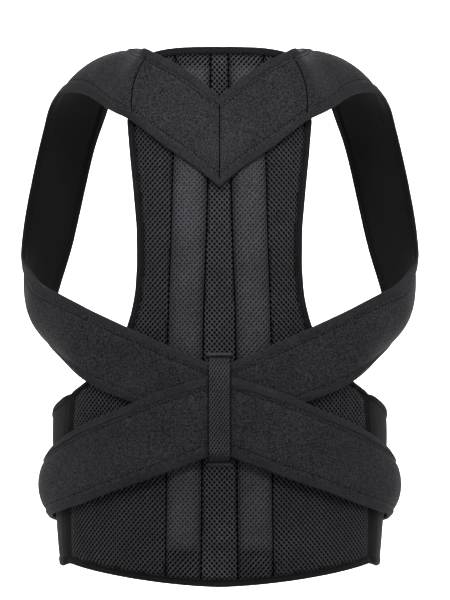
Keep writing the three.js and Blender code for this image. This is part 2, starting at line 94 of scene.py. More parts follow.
# Fabric details
EDGE_FACE = 3.4  # panel's face off the skin under its binding
NET_EDGE = 6.2  # from the panel's edge to its net's first holes
NET_SINK = 1.1  # how deep the dark layer, painted near-black for the shade down the holes, lies under the net
HOLE_PITCH = 4.1  # between holes across the net
ROW_PITCH = 4.7  # between every second row of holes
NET_HEIGHT = BACK_LENGTH + 5
FLANK_LEAN = 0.11  # how much longer a flank's holes are one way than the other
POCKET_LEAN = 0.15
HOLE = (1.52, 1.78)  # half of a hole's width and height
KEEPER_PITCH = (2.9, 4.3)  # between the keeper's holes, across and down
KEEPER_HOLE = (0.85, 1.45)
KEEPER_LEAN = 0.25
SEAM_ROOM = 0.6  # from a pocket seam to the nearest holes
SEAM_SINK = 1.3  # how deep a pocket seam draws the panel in
TAPE_RIB = 0.75  # between the ribs of a tape
STITCH_PITCH = 3.1
STITCH_SIZE = (2.3, 0.85, 0.5)  # length, width and height of one stitch
STITCH_INSET = 8.4  # from a strap's edge to its stitch line
SWELL = 0.95  # how much thicker a strap's middle is, on each face
STAY_END = -199  # height of the stays' lower ends
SEAM_LINE = 2.8  # width of the sunk line of a cross seam, a near-black strip of painted shade
QUILT_COLUMNS = (5, 8, 22)  # cells across half the channel, a pocket and a flank
QUILT_ROWS = 150
QUILT_FRAMES = 20
QUILT_GROWN = 10  # times its real size while it is blown up
QUILT_SWELL = 1.9  # how far the padding lifts the mesh
NECK_CORNER = 5  # how far each way the neck edge's corners are rounded


def table(columns, *rows):
    """Columns of a short table, each as an array."""
    return dict(zip(columns.split(), np.array(rows, float).T))


PANEL_ROWS = table(
    "up half girth channel",
    (1.0, 0.41, 1.2, 0.48), (0.93, 0.43, 1.2, 0.49), (0.81, 0.49, 1.2, 0.53),
    (0.745, 0.575, 1.2, 0.56), (0.6, 0.554, 1.2, 0.6), (0.47, 0.532, 1.2, 0.65),
    (0.33, 0.511, 1.2, 0.7), (0.19, 0.509, 1.2, 0.77), (0.09, 0.52, 1.2, 0.83),
    (0.02, 0.542, 1.19, 0.86), (-0.05, 0.577, 1.17, 0.88), (-0.11, 0.635, 1.13, 0.89),
    (-0.18, 0.738, 1.07, 0.9), (-0.25, 0.835, 1.02, 0.91), (-0.3, 0.955, 1.0, 0.92),
    (-0.48, 0.97, 1.0, 0.94), (-0.7, 0.982, 0.985, 0.96), (-0.87, 0.985, 0.965, 0.99),
    (-1.0, 0.966, 0.95, 1.0))
SPINE_ROWS = table("up sway", (1.2, 1.6), (1.0, 1.0), (0.5, -0.5), (0, 0), (-0.45, 0.5), (-1.0, -0.6))
SHOULDER = table(
    "out fore up tip turn wide laid crown",
    (0, -0.05, 0.645, 0, 0, 1.25, 1, 0), (0.1, -0.05, 0.71, 1, 0, 1.22, 1, 0),
    (0.235, -0.03, 0.785, 7, 0, 1.15, 1, 0), (0.37, -0.01, 0.856, 13, 4, 1.005, 1, 0.02),
    (0.445, 0.095, 0.889, 29, 24, 0.985, 0.05, 0.12), (0.53, 0.27, 0.934, 49, 26, 1.01, 0, 0.2),
    (0.625, 0.44, 0.928, 65, 24, 1.03, 0, 0.18), (0.693, 0.61, 0.866, 74, 22, 1.02, 0, 0.08),
    (0.745, 0.74, 0.77, 74, 22, 1.0, 0, 0.03), (0.8, 0.825, 0.64, 76, 28, 0.97, 0, 0.02),
    (0.853, 0.86, 0.457, 84, 36, 0.96, 0, 0.02), (0.89, 0.84, 0.297, 96, 46, 0.97, 0, 0.05),
    (0.913, 0.735, 0.168, 113, 58, 0.98, 0, 0.13), (0.901, 0.56, 0.083, 134, 68, 0.99, 0, 0.2),
    (0.852, 0.38, 0.007, 148, 74, 1.0, 0, 0.22), (0.756, 0.22, -0.05, 160, 78, 1.02, 0.2, 0.13),
    (0.609, 0.085, -0.12, 171, 80, 1.05, 0.9, 0.03), (0.41, 0, -0.188, 172, 40, 1.06, 1, 0),
    (0.196, -0.04, -0.264, 176, 10, 1.04, 1, 0), (0, -0.05, -0.331, 180, 0, 1.03, 1, 0))
SEAM_STATION = 3  # station of the shoulder strap where it is sewn to the yoke
WAIST = table(
    "round up wide over crown",
    (0, -0.358, 1.06, 1, 0), (9, -0.395, 1.1, 1, 0), (20, -0.443, 1.13, 1, 0),
    (33, -0.5, 1.09, 0.92, 0), (49, -0.56, 1.07, 0.3, 0.01), (65, -0.612, 0.97, 0, 0.06),
    (85, -0.665, 0.86, 0, 0.13), (105, -0.695, 0.9, 0, 0.1), (130, -0.72, 0.95, 0, 0.02),
    (158, -0.72, 0.97, 0, 0))
WING = table(
    "along top bottom",
    (0, -0.3, -0.95), (0.06, -0.33, -0.965), (0.14, -0.362, -0.968), (0.22, -0.385, -0.966),
    (0.4, -0.41, -0.955), (0.65, -0.43, -0.935), (0.95, -0.44, -0.92), (1, -0.455, -0.905))
KEEPER = table(
    "along rise",
    (1, 0), (0.93, 0.06), (0.78, 0.75), (0.63, 1), (0, 1), (-0.5, 1), (-0.83, 1), (-0.95, 0.1), (-1, 0))


# Camera, light and stage

def make_camera():
    """Level, straight behind the back, at the photo's height and framing"""
    bpy.ops.object.camera_add(location=(0.0047, -1.8, 0.0136), rotation=(math.pi / 2, 0, 0))
    camera = bpy.context.object
    camera.data.sensor_width = 36
    camera.data.lens = 127.06
    bpy.context.scene.camera = camera


def add_lamp(kind, name, place, aim, watts):
    """A lamp at a place, turned to shine on a point"""
    bpy.ops.object.light_add(type=kind, location=place)
    lamp = bpy.context.object
    lamp.name = name
    lamp.data.energy = watts
    way = Vector(aim) - Vector(place)
    lamp.rotation_euler = way.to_track_quat("-Z", "Y").to_euler()
    return lamp.data


def add_softbox(name, place, aim, size, watts):
    """A round soft light"""
    light = add_lamp("AREA", name, place, aim, watts)
    light.shape = "DISK"
    light.size = size


def add_spot(name, place, aim, degrees, watts):
    """A soft-edged spot that lifts one part of the cloth"""
    light = add_lamp("SPOT", name, place, aim, watts)
    light.spot_size = math.radians(degrees)
    light.spot_blend = 1
    light.shadow_soft_size = 0.12


def light_studio():
    """Spots on the back, waist and crests, soft light from behind and above, a lit backdrop"""
    add_spot("centre_spot", (0, -1.7, 0.7), (0, 0, 0.12), 9.4, 51)
    for name, side in (("left", -1), ("right", 1)):
        add_spot(f"{name}_waist_spot", (side * 1.3, -1.2, 0.5), (side * 0.115, 0.03, -0.1), 10, 10)
        add_spot(f"{name}_crest_spot", (side * 1.1, -1.0, 1.3), (side * 0.13, 0.05, 0.215), 7, 12)
    add_softbox("key_light", (0, -1.6, 1.2), (0, 0, 0.1), 0.6, 12)
    add_softbox("left_light", (-2.0, -0.4, 1.1), (0, 0.05, 0.1), 0.9, 9)
    add_softbox("right_light", (2.0, -0.4, 1.1), (0, 0.05, 0.1), 0.9, 9)
    add_softbox("crest_light", (0, -0.5, 1.7), (0, 0.05, 0), 0.9, 5)
    add_softbox("backdrop_light", (0, 2.6, 2.2), (0, 5.5, 0.2), 2.5, 420)
    bpy.ops.object.light_add(type="SUN", rotation=(math.radians(72), 0, 0))
    sun = bpy.context.object
    sun.name = "window_light"
    sun.data.energy = 0.15
    sun.data.angle = math.radians(50)
    world = bpy.data.worlds.new("studio_air")
    bpy.context.scene.world = world
    world.use_nodes = True
    air = world.node_tree.nodes["Background"]
    air.inputs["Color"].default_value = (1, 1, 1, 1)
    air.inputs["Strength"].default_value = 0.13
    bpy.context.scene.view_settings.view_transform = "Standard"


def build_sweep():
    """Pale floor that turns up into a backdrop"""
    bpy.ops.object.select_all(action="DESELECT")
    bpy.ops.mesh.primitive_plane_add(size=12, location=(0, -0.5, -1.0))
    sweep = bpy.context.object
    sweep.name = "studio_sweep"
    bpy.ops.object.transform_apply(location=True, rotation=False, scale=False)
    far = max(v.co.y for v in sweep.data.vertices)
    select_where(sweep, lambda co: co.y > far - 0.01)
    bpy.ops.object.mode_set(mode="EDIT")
    bpy.ops.mesh.select_mode(type="EDGE")
    bpy.ops.mesh.extrude_region_move(TRANSFORM_OT_translate={"value": (0, 0, 6)})
    bpy.ops.object.mode_set(mode="OBJECT")
    select_where(sweep, lambda co: co.y > far - 0.01 and co.z < 0)
    bpy.ops.object.mode_set(mode="EDIT")
    bpy.ops.mesh.bevel(offset=1.5, segments=16, affect="EDGES")
    bpy.ops.object.mode_set(mode="OBJECT")
    bpy.ops.object.shade_smooth()
    pale = bpy.data.materials.new("pale_paper")
    pale.use_nodes = True
    tree = pale.node_tree
    shader = tree.nodes["Principled BSDF"]
    shader.inputs["Roughness"].default_value = 0.9
    shader.inputs["Specular IOR Level"].default_value = 0.1
    spots = tree.nodes.new("ShaderNodeTexNoise")
    spots.inputs["Scale"].default_value = 3
    ramp = tree.nodes.new("ShaderNodeValToRGB")
    ramp.color_ramp.elements[0].color = (0.86, 0.86, 0.86, 1)
    ramp.color_ramp.elements[1].color = (0.9, 0.9, 0.9, 1)
    place = tree.nodes.new("ShaderNodeTexCoord")
    tree.links.new(place.outputs["Object"], spots.inputs["Vector"])
    tree.links.new(spots.outputs["Fac"], ramp.inputs["Fac"])
    tree.links.new(ramp.outputs["Color"], shader.inputs["Base Color"])
    sweep.data.materials.append(pale)


# Finishes

def grey(level):
    """Linear colour of a dark grey given as its level out of 255, a little blue"""
    base = (level / 255 / 12.92) if level <= 10 else ((level / 255 + 0.055) / 1.055) ** 2.4
    return (base * 1.02, base * 0.985, base * 1.17, 1)


class Finish:
    """A fabric's shader, built up node by node"""

    def __init__(self, name, rough, sheen, sheen_rough, shine=0.25):
        self.material = bpy.data.materials.new(name)
        self.material.use_nodes = True
        self.tree = self.material.node_tree
        self.shader = self.tree.nodes["Principled BSDF"]
        self.shader.inputs["Roughness"].default_value = rough
        self.shader.inputs["Sheen Weight"].default_value = sheen
        self.shader.inputs["Sheen Roughness"].default_value = sheen_rough
        self.shader.inputs["Specular IOR Level"].default_value = shine
        self.where = self.tree.nodes.new("ShaderNodeTexCoord")

    def node(self, kind, **values):
        made = self.tree.nodes.new(kind)
        for key, value in values.items():
            made.inputs[key].default_value = value
        return made

    def link(self, a, out, b, into):
        self.tree.links.new(a.outputs[out], b.inputs[into])

    def noise(self, millimetres, detail=2.0, rough=0.5, stretch=(1, 1, 1)):
        spread = self.node("ShaderNodeMapping", Scale=stretch)
        grain = self.node("ShaderNodeTexNoise", Scale=1 / (millimetres * MM), Detail=detail, Roughness=rough)
        self.link(self.where, "Object", spread, "Vector")
        self.link(spread, "Vector", grain, "Vector")
        return grain

    def ramp(self, source, out, low, high, dark, light):
        ramp = self.tree.nodes.new("ShaderNodeValToRGB")
        ramp.color_ramp.elements[0].position = low
        ramp.color_ramp.elements[1].position = high
        ramp.color_ramp.elements[0].color = dark
        ramp.color_ramp.elements[1].color = light
        self.link(source, out, ramp, "Fac")
        return ramp

    def darken(self, share, a, b):
        """Colour a multiplied by colour b"""
        mixed = self.tree.nodes.new("ShaderNodeMix")
        mixed.data_type = "RGBA"
        mixed.blend_type = "MULTIPLY"
        mixed.inputs[0].default_value = share
        self.tree.links.new(a, mixed.inputs[6])
        self.tree.links.new(b, mixed.inputs[7])
        return mixed.outputs[2]

    def bump(self, height, strength, depth_mm, under=None):
        bump = self.node("ShaderNodeBump", Strength=strength, Distance=depth_mm * MM)
        self.tree.links.new(height, bump.inputs["Height"])
        if under is not None:
            self.link(under, "Normal", bump, "Normal")
        return bump

    def wear(self, color, patch_mm):
        """Slow changes of tone over the cloth, as from handling"""
        patch = self.noise(patch_mm, detail=3)
        tone = self.ramp(patch, "Fac", 0.3, 0.7, (0.8, 0.8, 0.8, 1), (1.18, 1.18, 1.18, 1))
        return self.darken(1.0, color, tone.outputs["Color"])

    def done(self, color, bump):
        self.tree.links.new(color, self.shader.inputs["Base Color"])
        self.link(bump, "Normal", self.shader, "Normal")
        return self.material


def net_yarn(name, dark, light):
    """Twisted yarn of the mesh cloth"""
    finish = Finish(name, 0.5, 0.04, 0.4, 0.3)
    yarn = finish.noise(0.8, detail=3, rough=0.65)
    color = finish.ramp(yarn, "Fac", 0.35, 0.66, grey(dark), grey(light))
    twist = finish.noise(0.35, detail=2, stretch=(1, 1, 0.45))
    return finish.done(finish.wear(color.outputs["Color"], 26), finish.bump(twist.outputs["Fac"], 0.7, 0.25))


def loop_cloth(name, dark, light):
    """Brushed loops: a fine speckle of lit tips over a dark ground"""
    finish = Finish(name, 0.7, 0.05, 0.5, 0.22)
    tips = finish.noise(1.4, detail=4, rough=0.85, stretch=(1, 0.42, 1))
    speckle = finish.ramp(tips, "Fac", 0.41, 0.62, grey(dark), grey(light))
    loops = finish.node("ShaderNodeTexVoronoi", Scale=1 / (0.9 * MM))
    finish.link(finish.where, "Object", loops, "Vector")
    soft = finish.noise(26, detail=2)
    puckers = finish.bump(soft.outputs["Fac"], 0.5, 3.0)
    coarse = finish.bump(tips.outputs["Fac"], 0.5, 0.5, puckers)
    return finish.done(finish.wear(speckle.outputs["Color"], 42),
                       finish.bump(loops.outputs["Distance"], 0.6, 0.45, coarse))


def ribbed_tape(name, dark, light):
    """Woven tape with fine ribs across its run"""
    finish = Finish(name, 0.75, 0.04, 0.4, 0.2)
    ribs = finish.node("ShaderNodeTexWave", Scale=math.pi / (20 * TAPE_RIB * MM), Distortion=1.2, Detail=2)
    finish.link(finish.where, "UV", ribs, "Vector")
    weave = finish.noise(1.0, detail=4, rough=0.75)
    color = finish.ramp(weave, "Fac", 0.4, 0.62, grey(dark), grey(light))
    fine = finish.bump(weave.outputs["Fac"], 0.5, 0.4)
    ribbed = finish.bump(ribs.outputs["Fac"], 0.6, 0.22, fine)
    return finish.done(finish.wear(color.outputs["Color"], 30), ribbed)


def smooth_cloth(name, dark, light):
    """Flat knit with a faint grain"""
    finish = Finish(name, 0.85, 0.04, 0.5)
    grain = finish.noise(0.8, detail=3, rough=0.6)
    color = finish.ramp(grain, "Fac", 0.3, 0.72, grey(dark), grey(light))
    return finish.done(finish.wear(color.outputs["Color"], 48), finish.bump(grain.outputs["Fac"], 0.45, 0.3))


def spacer_back(name, dark, light):
    """Mesh knit seen from the wearer's side: small staggered holes in the cloth's own directions"""
    finish = Finish(name, 0.8, 0.05, 0.45)
    rows = finish.node("ShaderNodeTexVoronoi", Scale=1 / (3 * MM), Randomness=0.12)
    finish.link(finish.where, "UV", rows, "Vector")
    holes = finish.ramp(rows, "Distance", 0.2, 0.42, grey(7), grey(light))
    yarn = finish.noise(0.5, detail=3)
    tone = finish.ramp(yarn, "Fac", 0.3, 0.7, grey(dark), (1, 1, 1, 1))
    color = finish.darken(0.5, holes.outputs["Color"], tone.outputs["Color"])
    return finish.done(color, finish.bump(holes.outputs["Color"], 0.8, 0.8))


def sewing_thread(name, level):
    """Dull twisted thread"""
    finish = Finish(name, 0.85, 0.0, 0.4, 0.06)
    twist = finish.noise(0.3, detail=1)
    color = finish.ramp(twist, "Fac", 0.3, 0.7, grey(level * 0.6), grey(level))
    return finish.done(color.outputs["Color"], finish.bump(twist.outputs["Fac"], 0.6, 0.12))


# Shape of the worn piece, as in the model. Points are rows of x, y, z in millimetres.

def look(rows, key, at, column):
    """Straight steps between a table's rows"""
    order = np.argsort(rows[key])
    return np.interp(at, rows[key][order], rows[column][order])


def eased(rows, key, at, column, spread):
    """The same with the corners rounded over a spread"""
    return sum(look(rows, key, at + spread * k, column) for k in (-1, -0.5, 0, 0.5, 1)) / 5


def smooth(stations, at, column):
    """A smooth curve through a table's rows, by number of station"""
    values = stations[column]
    last = len(values) - 1
    i = np.clip(np.floor(at).astype(int), 0, last - 1)
    t = at - i
    b = values[i]
    c = values[i + 1]
    a = np.where(i > 0, values[np.maximum(i - 1, 0)], 2 * b - c)
    d = np.where(i < last - 1, values[np.minimum(i + 2, last)], 2 * c - b)
    return b + 0.5 * t * (c - a + t * (2 * a - 5 * b + 4 * c - d + t * (3 * (b - c) + d - a)))


def ease_step(value, low, high):
    """Eases from 0 to 1 between two values"""
    t = np.clip((value - low) / (high - low), 0, 1)
    return t * t * (3 - 2 * t)


def unit(v):
    return v / np.maximum(np.linalg.norm(v, axis=-1, keepdims=True), 1e-9)


def girth_at(z):
    """Half of the body's width at a height"""
    return eased(PANEL_ROWS, "up", z / HALF_LENGTH, "girth", 0.03) * WAIST_WIDTH / 2


def worn(x, y, z):
    """Points moved with the sway of the spine"""
    x, y, z = np.broadcast_arrays(x, y, z)
    return np.stack([x, y + SPINE_CURVE * eased(SPINE_ROWS, "up", z / HALF_LENGTH, "sway", 0.2), z], -1)


def back_depth(x, z, off):
    """Depth of the body's back at a place, a distance off the skin"""
    share = np.minimum(0.97, np.abs(x) / (girth_at(z) + off))
    return HALF_DEPTH - (HALF_DEPTH + off) * np.sqrt(1 - share * share)


def panel_spot(x, z):
    """Points of the panel's inner face, and the ways outwards there"""
    side = np.clip(x / girth_at(z), -0.97, 0.97)
    side, z = np.broadcast_arrays(side, z)
    return worn(x, back_depth(x, z, 0), z), np.stack([side, -np.sqrt(1 - side * side), 0 * side], -1)


def inner_seam(z):
    """Distance of a pocket's inner seam from the spine"""
    return eased(PANEL_ROWS, "up", z / HALF_LENGTH, "channel", 0.03) * CHANNEL_WIDTH / 2


def panel_half(z):
    """Half of the panel's width at a height"""
    drawn = eased(PANEL_ROWS, "up", z / HALF_LENGTH, "half", 0.02) * PANEL_WIDEST / 2
    return np.maximum(drawn, inner_seam(z) + POCKET_WIDTH + BAND_WIDTH + 2 * SEW_MARGIN)


def neck_line(share):
    """Height of the neck edge by share of the panel's half width"""
    return HALF_LENGTH - NECK_DIP * share ** 4


def hem_line(share):
    return HEM_RISE * share ** 1.5 - HALF_LENGTH


def panel_ends(x, z):
    """Heights of the neck edge and the hem above and below a place"""
    share = np.minimum(1, np.abs(x) / panel_half(z))
    return neck_line(share), hem_line(share)


def to_edge(x, z):
    """Distance in from the panel's nearest edge"""
    top, hem = panel_ends(x, z)
    return np.minimum(panel_half(z) - np.abs(x), np.minimum(top - z, z - hem))


def seam_sides(x, z):
    """Where a place lies between the seams: 0 to 1 over the channel, a pocket and a flank"""
    inner = inner_seam(z)
    outer = inner + POCKET_WIDTH
    flank = np.maximum(1, panel_half(z) - BAND_WIDTH - outer)
    x = np.abs(x)
    return x / inner, (x - inner) / POCKET_WIDTH, (x - outer) / flank


def quilt_column(x, z):
    """Column of the quilt's cloth over a place: its columns follow the seams"""
    runs = zip(QUILT_COLUMNS, seam_sides(x, z))
    return sum(QUILT_COLUMNS) + np.sign(x) * sum(count * np.clip(share, 0, 1) for count, share in runs)


def blow_up_quilt():
    """The mesh cloth pinned along its seams and edges and blown up from behind by its padding. Gives
    how far each place of it rises, row by row."""
    columns = 2 * sum(QUILT_COLUMNS)
    piece, u, v = flat_grid("quilt_cloth", columns, QUILT_ROWS)
    z = HALF_LENGTH * (1 - 2 * v)
    row_order = np.lexsort((u, v))
    column = np.rint(u * columns).astype(int)
    stops = np.cumsum([0, *QUILT_COLUMNS])
    from_middle = np.abs(column - columns // 2)
    inner = inner_seam(z)
    edges = [0 * z, inner, inner + POCKET_WIDTH, panel_half(z)]
    x = sum((edges[k + 1] - edges[k]) * np.clip((from_middle - stops[k]) / (stops[k + 1] - stops[k]), 0, 1)
            for k in range(3)) * np.sign(column - columns // 2)
    slack = 0.2 * np.sin(x / 8 + 2 * np.sin(z / 27)) * np.sin(z / 15 + np.sin(x / 12))
    grown = QUILT_GROWN * MM
    move_corners(piece, np.stack([x, -0.1 - slack * 0.5, z], -1) * grown)
    pinned = np.isin(from_middle, stops[1:]) | (v < 0.01) | (v > 0.99)
    pins = piece.vertex_groups.new(name="sewn")
    pins.add(np.nonzero(pinned)[0].tolist(), 1.0, "REPLACE")
    lone(piece)
    if piece.data.polygons[0].normal.y > 0:
        edit(bpy.ops.mesh.flip_normals)
    bpy.ops.object.modifier_add(type="CLOTH")
    cloth = piece.modifiers[-1]
    rules = cloth.settings
    rules.vertex_group_mass = "sewn"
    rules.quality = 6
    rules.mass = 0.02
    rules.tension_stiffness = 12
    rules.compression_stiffness = 12
    rules.shear_stiffness = 4
    rules.bending_stiffness = 0.05
    rules.use_pressure = True
    rules.uniform_pressure_force = 4
    rules.effector_weights.gravity = 0
    rules.shrink_min = -0.02
    cloth.point_cache.frame_start = 1
    cloth.point_cache.frame_end = QUILT_FRAMES
    for moment in range(QUILT_FRAMES):
        bpy.context.scene.frame_set(moment + 1)
    bpy.ops.object.modifier_apply(modifier=cloth.name)
    bpy.context.scene.frame_set(1)
    rise = -corners(piece)[:, 1] / grown
    bpy.ops.object.delete()
    heights = rise[row_order].reshape(QUILT_ROWS + 1, columns + 1)
    return np.clip(heights / np.percentile(heights, 97), 0, 1.15) ** 0.6


def quilt_rise(x, z):
    """Rise of the quilted cloth at a place, about 1 at its most swollen"""
    if HEIGHTS is None:
        channel, _, flank = seam_sides(x, z)
        bow = 1 - np.abs(2 * np.clip(flank, 0, 1) - 1) ** 3
        return np.where(channel < 1, 1 - np.clip(channel, 0, 1) ** 3, np.where(flank > 0, bow, 0))
    column = np.clip(quilt_column(x, z), 0, HEIGHTS.shape[1] - 1.001)
    row = np.clip((HALF_LENGTH - z) / BACK_LENGTH, 0, 0.9999) * QUILT_ROWS
    column, row = np.broadcast_arrays(column, row)
    c = column.astype(int)
    r = row.astype(int)
    s = column - c
    t = row - r
    upper = HEIGHTS[r, c] * (1 - s) + HEIGHTS[r, c + 1] * s
    lower = HEIGHTS[r + 1, c] * (1 - s) + HEIGHTS[r + 1, c + 1] * s
    return upper * (1 - t) + lower * t


def panel_face(x, z):
    """How far the mesh's outer face lies off the skin: swollen between seams, drawn in at each"""
    inner = inner_seam(z)
    groove = sum(np.exp(-((np.abs(x) - seam) / 1.5) ** 2) for seam in (inner, inner + POCKET_WIDTH))
    face = PANEL_THICK + QUILT_SWELL * quilt_rise(x, z) - SEAM_SINK * groove
    dent = 1.5 * np.exp(-((z - STAY_END) / 5) ** 2 - (x / 16) ** 2)
    drawn = ease_step(to_edge(x, z), 1.5, 11)
    return EDGE_FACE + (face - dent - EDGE_FACE) * drawn


def pocket_face(across, z):
    """How far a stay pocket's outer face lies off the skin; across runs from -1 to 1 over it"""
    hump = (1 - np.clip(np.abs(across), 0, 1) ** 5) ** 0.9
    stay = ease_step(z, STAY_END - 5, STAY_END + 3)
    dent = 0.9 * np.exp(-((z - STAY_END + 4) / 4) ** 2)
    wave = 0.12 * np.sin(z / 13) * (1 - across ** 2)
    high = 1.4 + 2.2 * stay - dent + wave
    raised = 4.3 + high * hump
    x = inner_seam(z) + POCKET_WIDTH * (across + 1) / 2
    ends = ease_step(to_edge(x, z), 5, 15)
    flat = panel_face(x, z)
    return flat + (np.maximum(raised, flat) - flat) * ends


def flat_shoulder(side, at, across):
    """Points of the shoulder strap before it is crowned"""
    tip = np.radians(smooth(SHOULDER, at, "tip"))
    turn = np.radians(smooth(SHOULDER, at, "turn"))
    reach = (0.5 - across) * smooth(SHOULDER, at, "wide") * STRAP_WIDTH
    x = np.maximum(0, smooth(SHOULDER, at, "out") * HALF_SPAN - reach * np.sin(tip) * np.cos(turn))
    z = smooth(SHOULDER, at, "up") * HALF_LENGTH + reach * np.cos(tip)
    free = smooth(SHOULDER, at, "fore") * TORSO_DEPTH + reach * np.sin(tip) * np.sin(turn)
    y = free + smooth(SHOULDER, at, "laid") * (back_depth(x, z, UNDER_LAYER) - free)
    return worn(side * x, y, z)


def strap_spot(point, side, at, across):
    """Points of a strap, and the ways outwards there"""
    step = 0.01
    run = point(side, at + step, across) - point(side, at - step, across)
    width = point(side, at, across + step) - point(side, at, across - step)
    return point(side, at, across), unit(np.cross(run, width)) * -side


def shoulder_point(side, at, across):
    """Points of the shoulder strap, bowed up over its width where it bends round the arm"""
    p, n = strap_spot(flat_shoulder, side, at, across)
    crown = np.maximum(0, smooth(SHOULDER, at, "crown"))
    return p + n * (crown * STRAP_WIDTH * (1 - (2 * across - 1) ** 2))[..., None]


# How far each belt end reaches past the middle of the front, in degrees, and how far off the inner
# end the outer one lies
FRONT_END = math.degrees(math.asin(WING_OVERLAP / WAIST_WIDTH))
CLOSURE_LIFT = WING_THICK + 2 * (TAPE_CLEAR + BAND_THICK) + CLOSURE_THICK + 2 * CLEAR


def wing_lift(side, degrees):
    """How far the right end of the belt is lifted over the closure and the left end"""
    if side < 0:
        return 0 * degrees
    return CLOSURE_LIFT * ease_step(degrees, 180 - 2.2 * FRONT_END, 180 - 1.15 * FRONT_END)


def round_body(side, degrees, z, off):
    """Points round the body from the spine, off the skin, and the ways outwards there"""
    a = np.radians(degrees)
    x = side * (girth_at(z) + off) * np.sin(a)
    out = np.stack(np.broadcast_arrays(side * np.sin(a), -np.cos(a), 0 * a), -1)
    return worn(x, HALF_DEPTH - (HALF_DEPTH + off) * np.cos(a), z), out


def waist_point(side, at, across):
    """Points of the waist strap"""
    z = smooth(WAIST, at, "up") * HALF_LENGTH + (0.5 - across) * smooth(WAIST, at, "wide") * STRAP_WIDTH
    bulge = smooth(WAIST, at, "crown") * STRAP_WIDTH * (1 - (2 * across - 1) ** 2)
    over = np.minimum(1, smooth(WAIST, at, "over"))
    degrees = smooth(WAIST, at, "round")
    layer = BELT_LAYER + (OVER_LAYER - BELT_LAYER) * over
    return round_body(side, degrees, z, layer + bulge + wing_lift(side, degrees))[0]


# Sheets of cloth: a flat grid is added, its corners are moved to where the cloth lies, and it
# gets its thickness

def lone(piece):
    """Selects one piece alone"""
    bpy.ops.object.select_all(action="DESELECT")
    piece.select_set(True)
    bpy.context.view_layer.objects.active = piece


def select_where(piece, wanted):
    """Selects what lies wholly where a test of a corner's place holds, and nothing else"""
    inside = [bool(wanted(v.co)) for v in piece.data.vertices]
    for v in piece.data.vertices:
        v.select = inside[v.index]
    for part in (*piece.data.edges, *piece.data.polygons):
        part.select = all(inside[i] for i in part.vertices)


def edit(*steps):
    """Runs edit-mode steps on all of the active piece"""
    bpy.ops.object.mode_set(mode="EDIT")
    bpy.ops.mesh.select_all(action="SELECT")
    for step in steps:
        step()
    bpy.ops.object.mode_set(mode="OBJECT")


def corners(piece):
    """Places of a piece's corners, a row each"""
    co = np.zeros(len(piece.data.vertices) * 3, np.float32)
    piece.data.vertices.foreach_get("co", co)
    return co.reshape(-1, 3).astype(float)


def move_corners(piece, points):
    piece.data.vertices.foreach_set("co", np.ascontiguousarray(points, np.float32).ravel())
    piece.data.update()


def modify(piece, kind, **values):
    """Adds a modifier with its values and applies it"""
    lone(piece)
    bpy.ops.object.modifier_add(type=kind)
    modifier = piece.modifiers[-1]
    for key, value in values.items():
        setattr(modifier, key, value)
    bpy.ops.object.modifier_apply(modifier=modifier.name)


def flat_grid(name, columns, rows):
    """A flat grid, and each corner's share across and down it"""
    bpy.ops.object.select_all(action="DESELECT")
    bpy.ops.mesh.primitive_grid_add(x_subdivisions=columns, y_subdivisions=rows, size=1)
    piece = bpy.context.object
    piece.name = name
    flat = corners(piece)
    return piece, flat[:, 0] + 0.5, 0.5 - flat[:, 1]


def face_outwards(piece, normals):
    """Turns the sheet's faces over if they look against the given ways outwards"""
    middle = piece.data.polygons[len(piece.data.polygons) // 2]
    if np.dot(np.array(middle.normal), normals[middle.vertices[0]]) < 0:
        lone(piece)
        edit(bpy.ops.mesh.flip_normals)


def set_map(piece, flat):
    """Gives a piece of two like faces the flat places of its corners, in millimetres, as its UV map"""
    loops = np.zeros(len(piece.data.loops), int)
    piece.data.loops.foreach_get("vertex_index", loops)
    spread = (flat * MM)[loops % len(flat)].astype(np.float32)
    piece.data.uv_layers.active.data.foreach_set("uv", spread.ravel())


def lay_map(piece, u, v, spot):
    """Makes the piece's UV map a flat pattern of its true size"""
    steps = np.linspace(0, 1, 120)
    half = 0 * steps + 0.5
    runs = []
    for points in (spot(steps, half)[0], spot(half, steps)[0]):
        lengths = np.linalg.norm(np.diff(points, axis=0), axis=1)
        runs.append(np.concatenate([[0], np.cumsum(lengths)]))
    set_map(piece, np.stack([np.interp(u, steps, runs[0]), np.interp(v, steps, runs[1])], -1))


def lay_cloth(name, columns, rows, spot, outer, inner, finishes):
    """A cloth with its two faces at given distances off its spots"""
    piece, u, v = flat_grid(name, columns, rows)
    points, normals = spot(u, v)
    move_corners(piece, points * MM)
    face_outwards(piece, normals)
    for finish in finishes:
        piece.data.materials.append(finish)
    back = len(finishes) - 1
    modify(piece, "SOLIDIFY", thickness=0.001, offset=-1, material_offset=back, material_offset_rim=0)
    both = [points + normals * np.broadcast_to(face(u, v), u.shape)[:, None] for face in (outer, inner)]
    move_corners(piece, np.concatenate(both) * MM)
    lay_map(piece, u, v, spot)
    bpy.ops.object.shade_smooth_by_angle(angle=math.radians(55))
    return piece


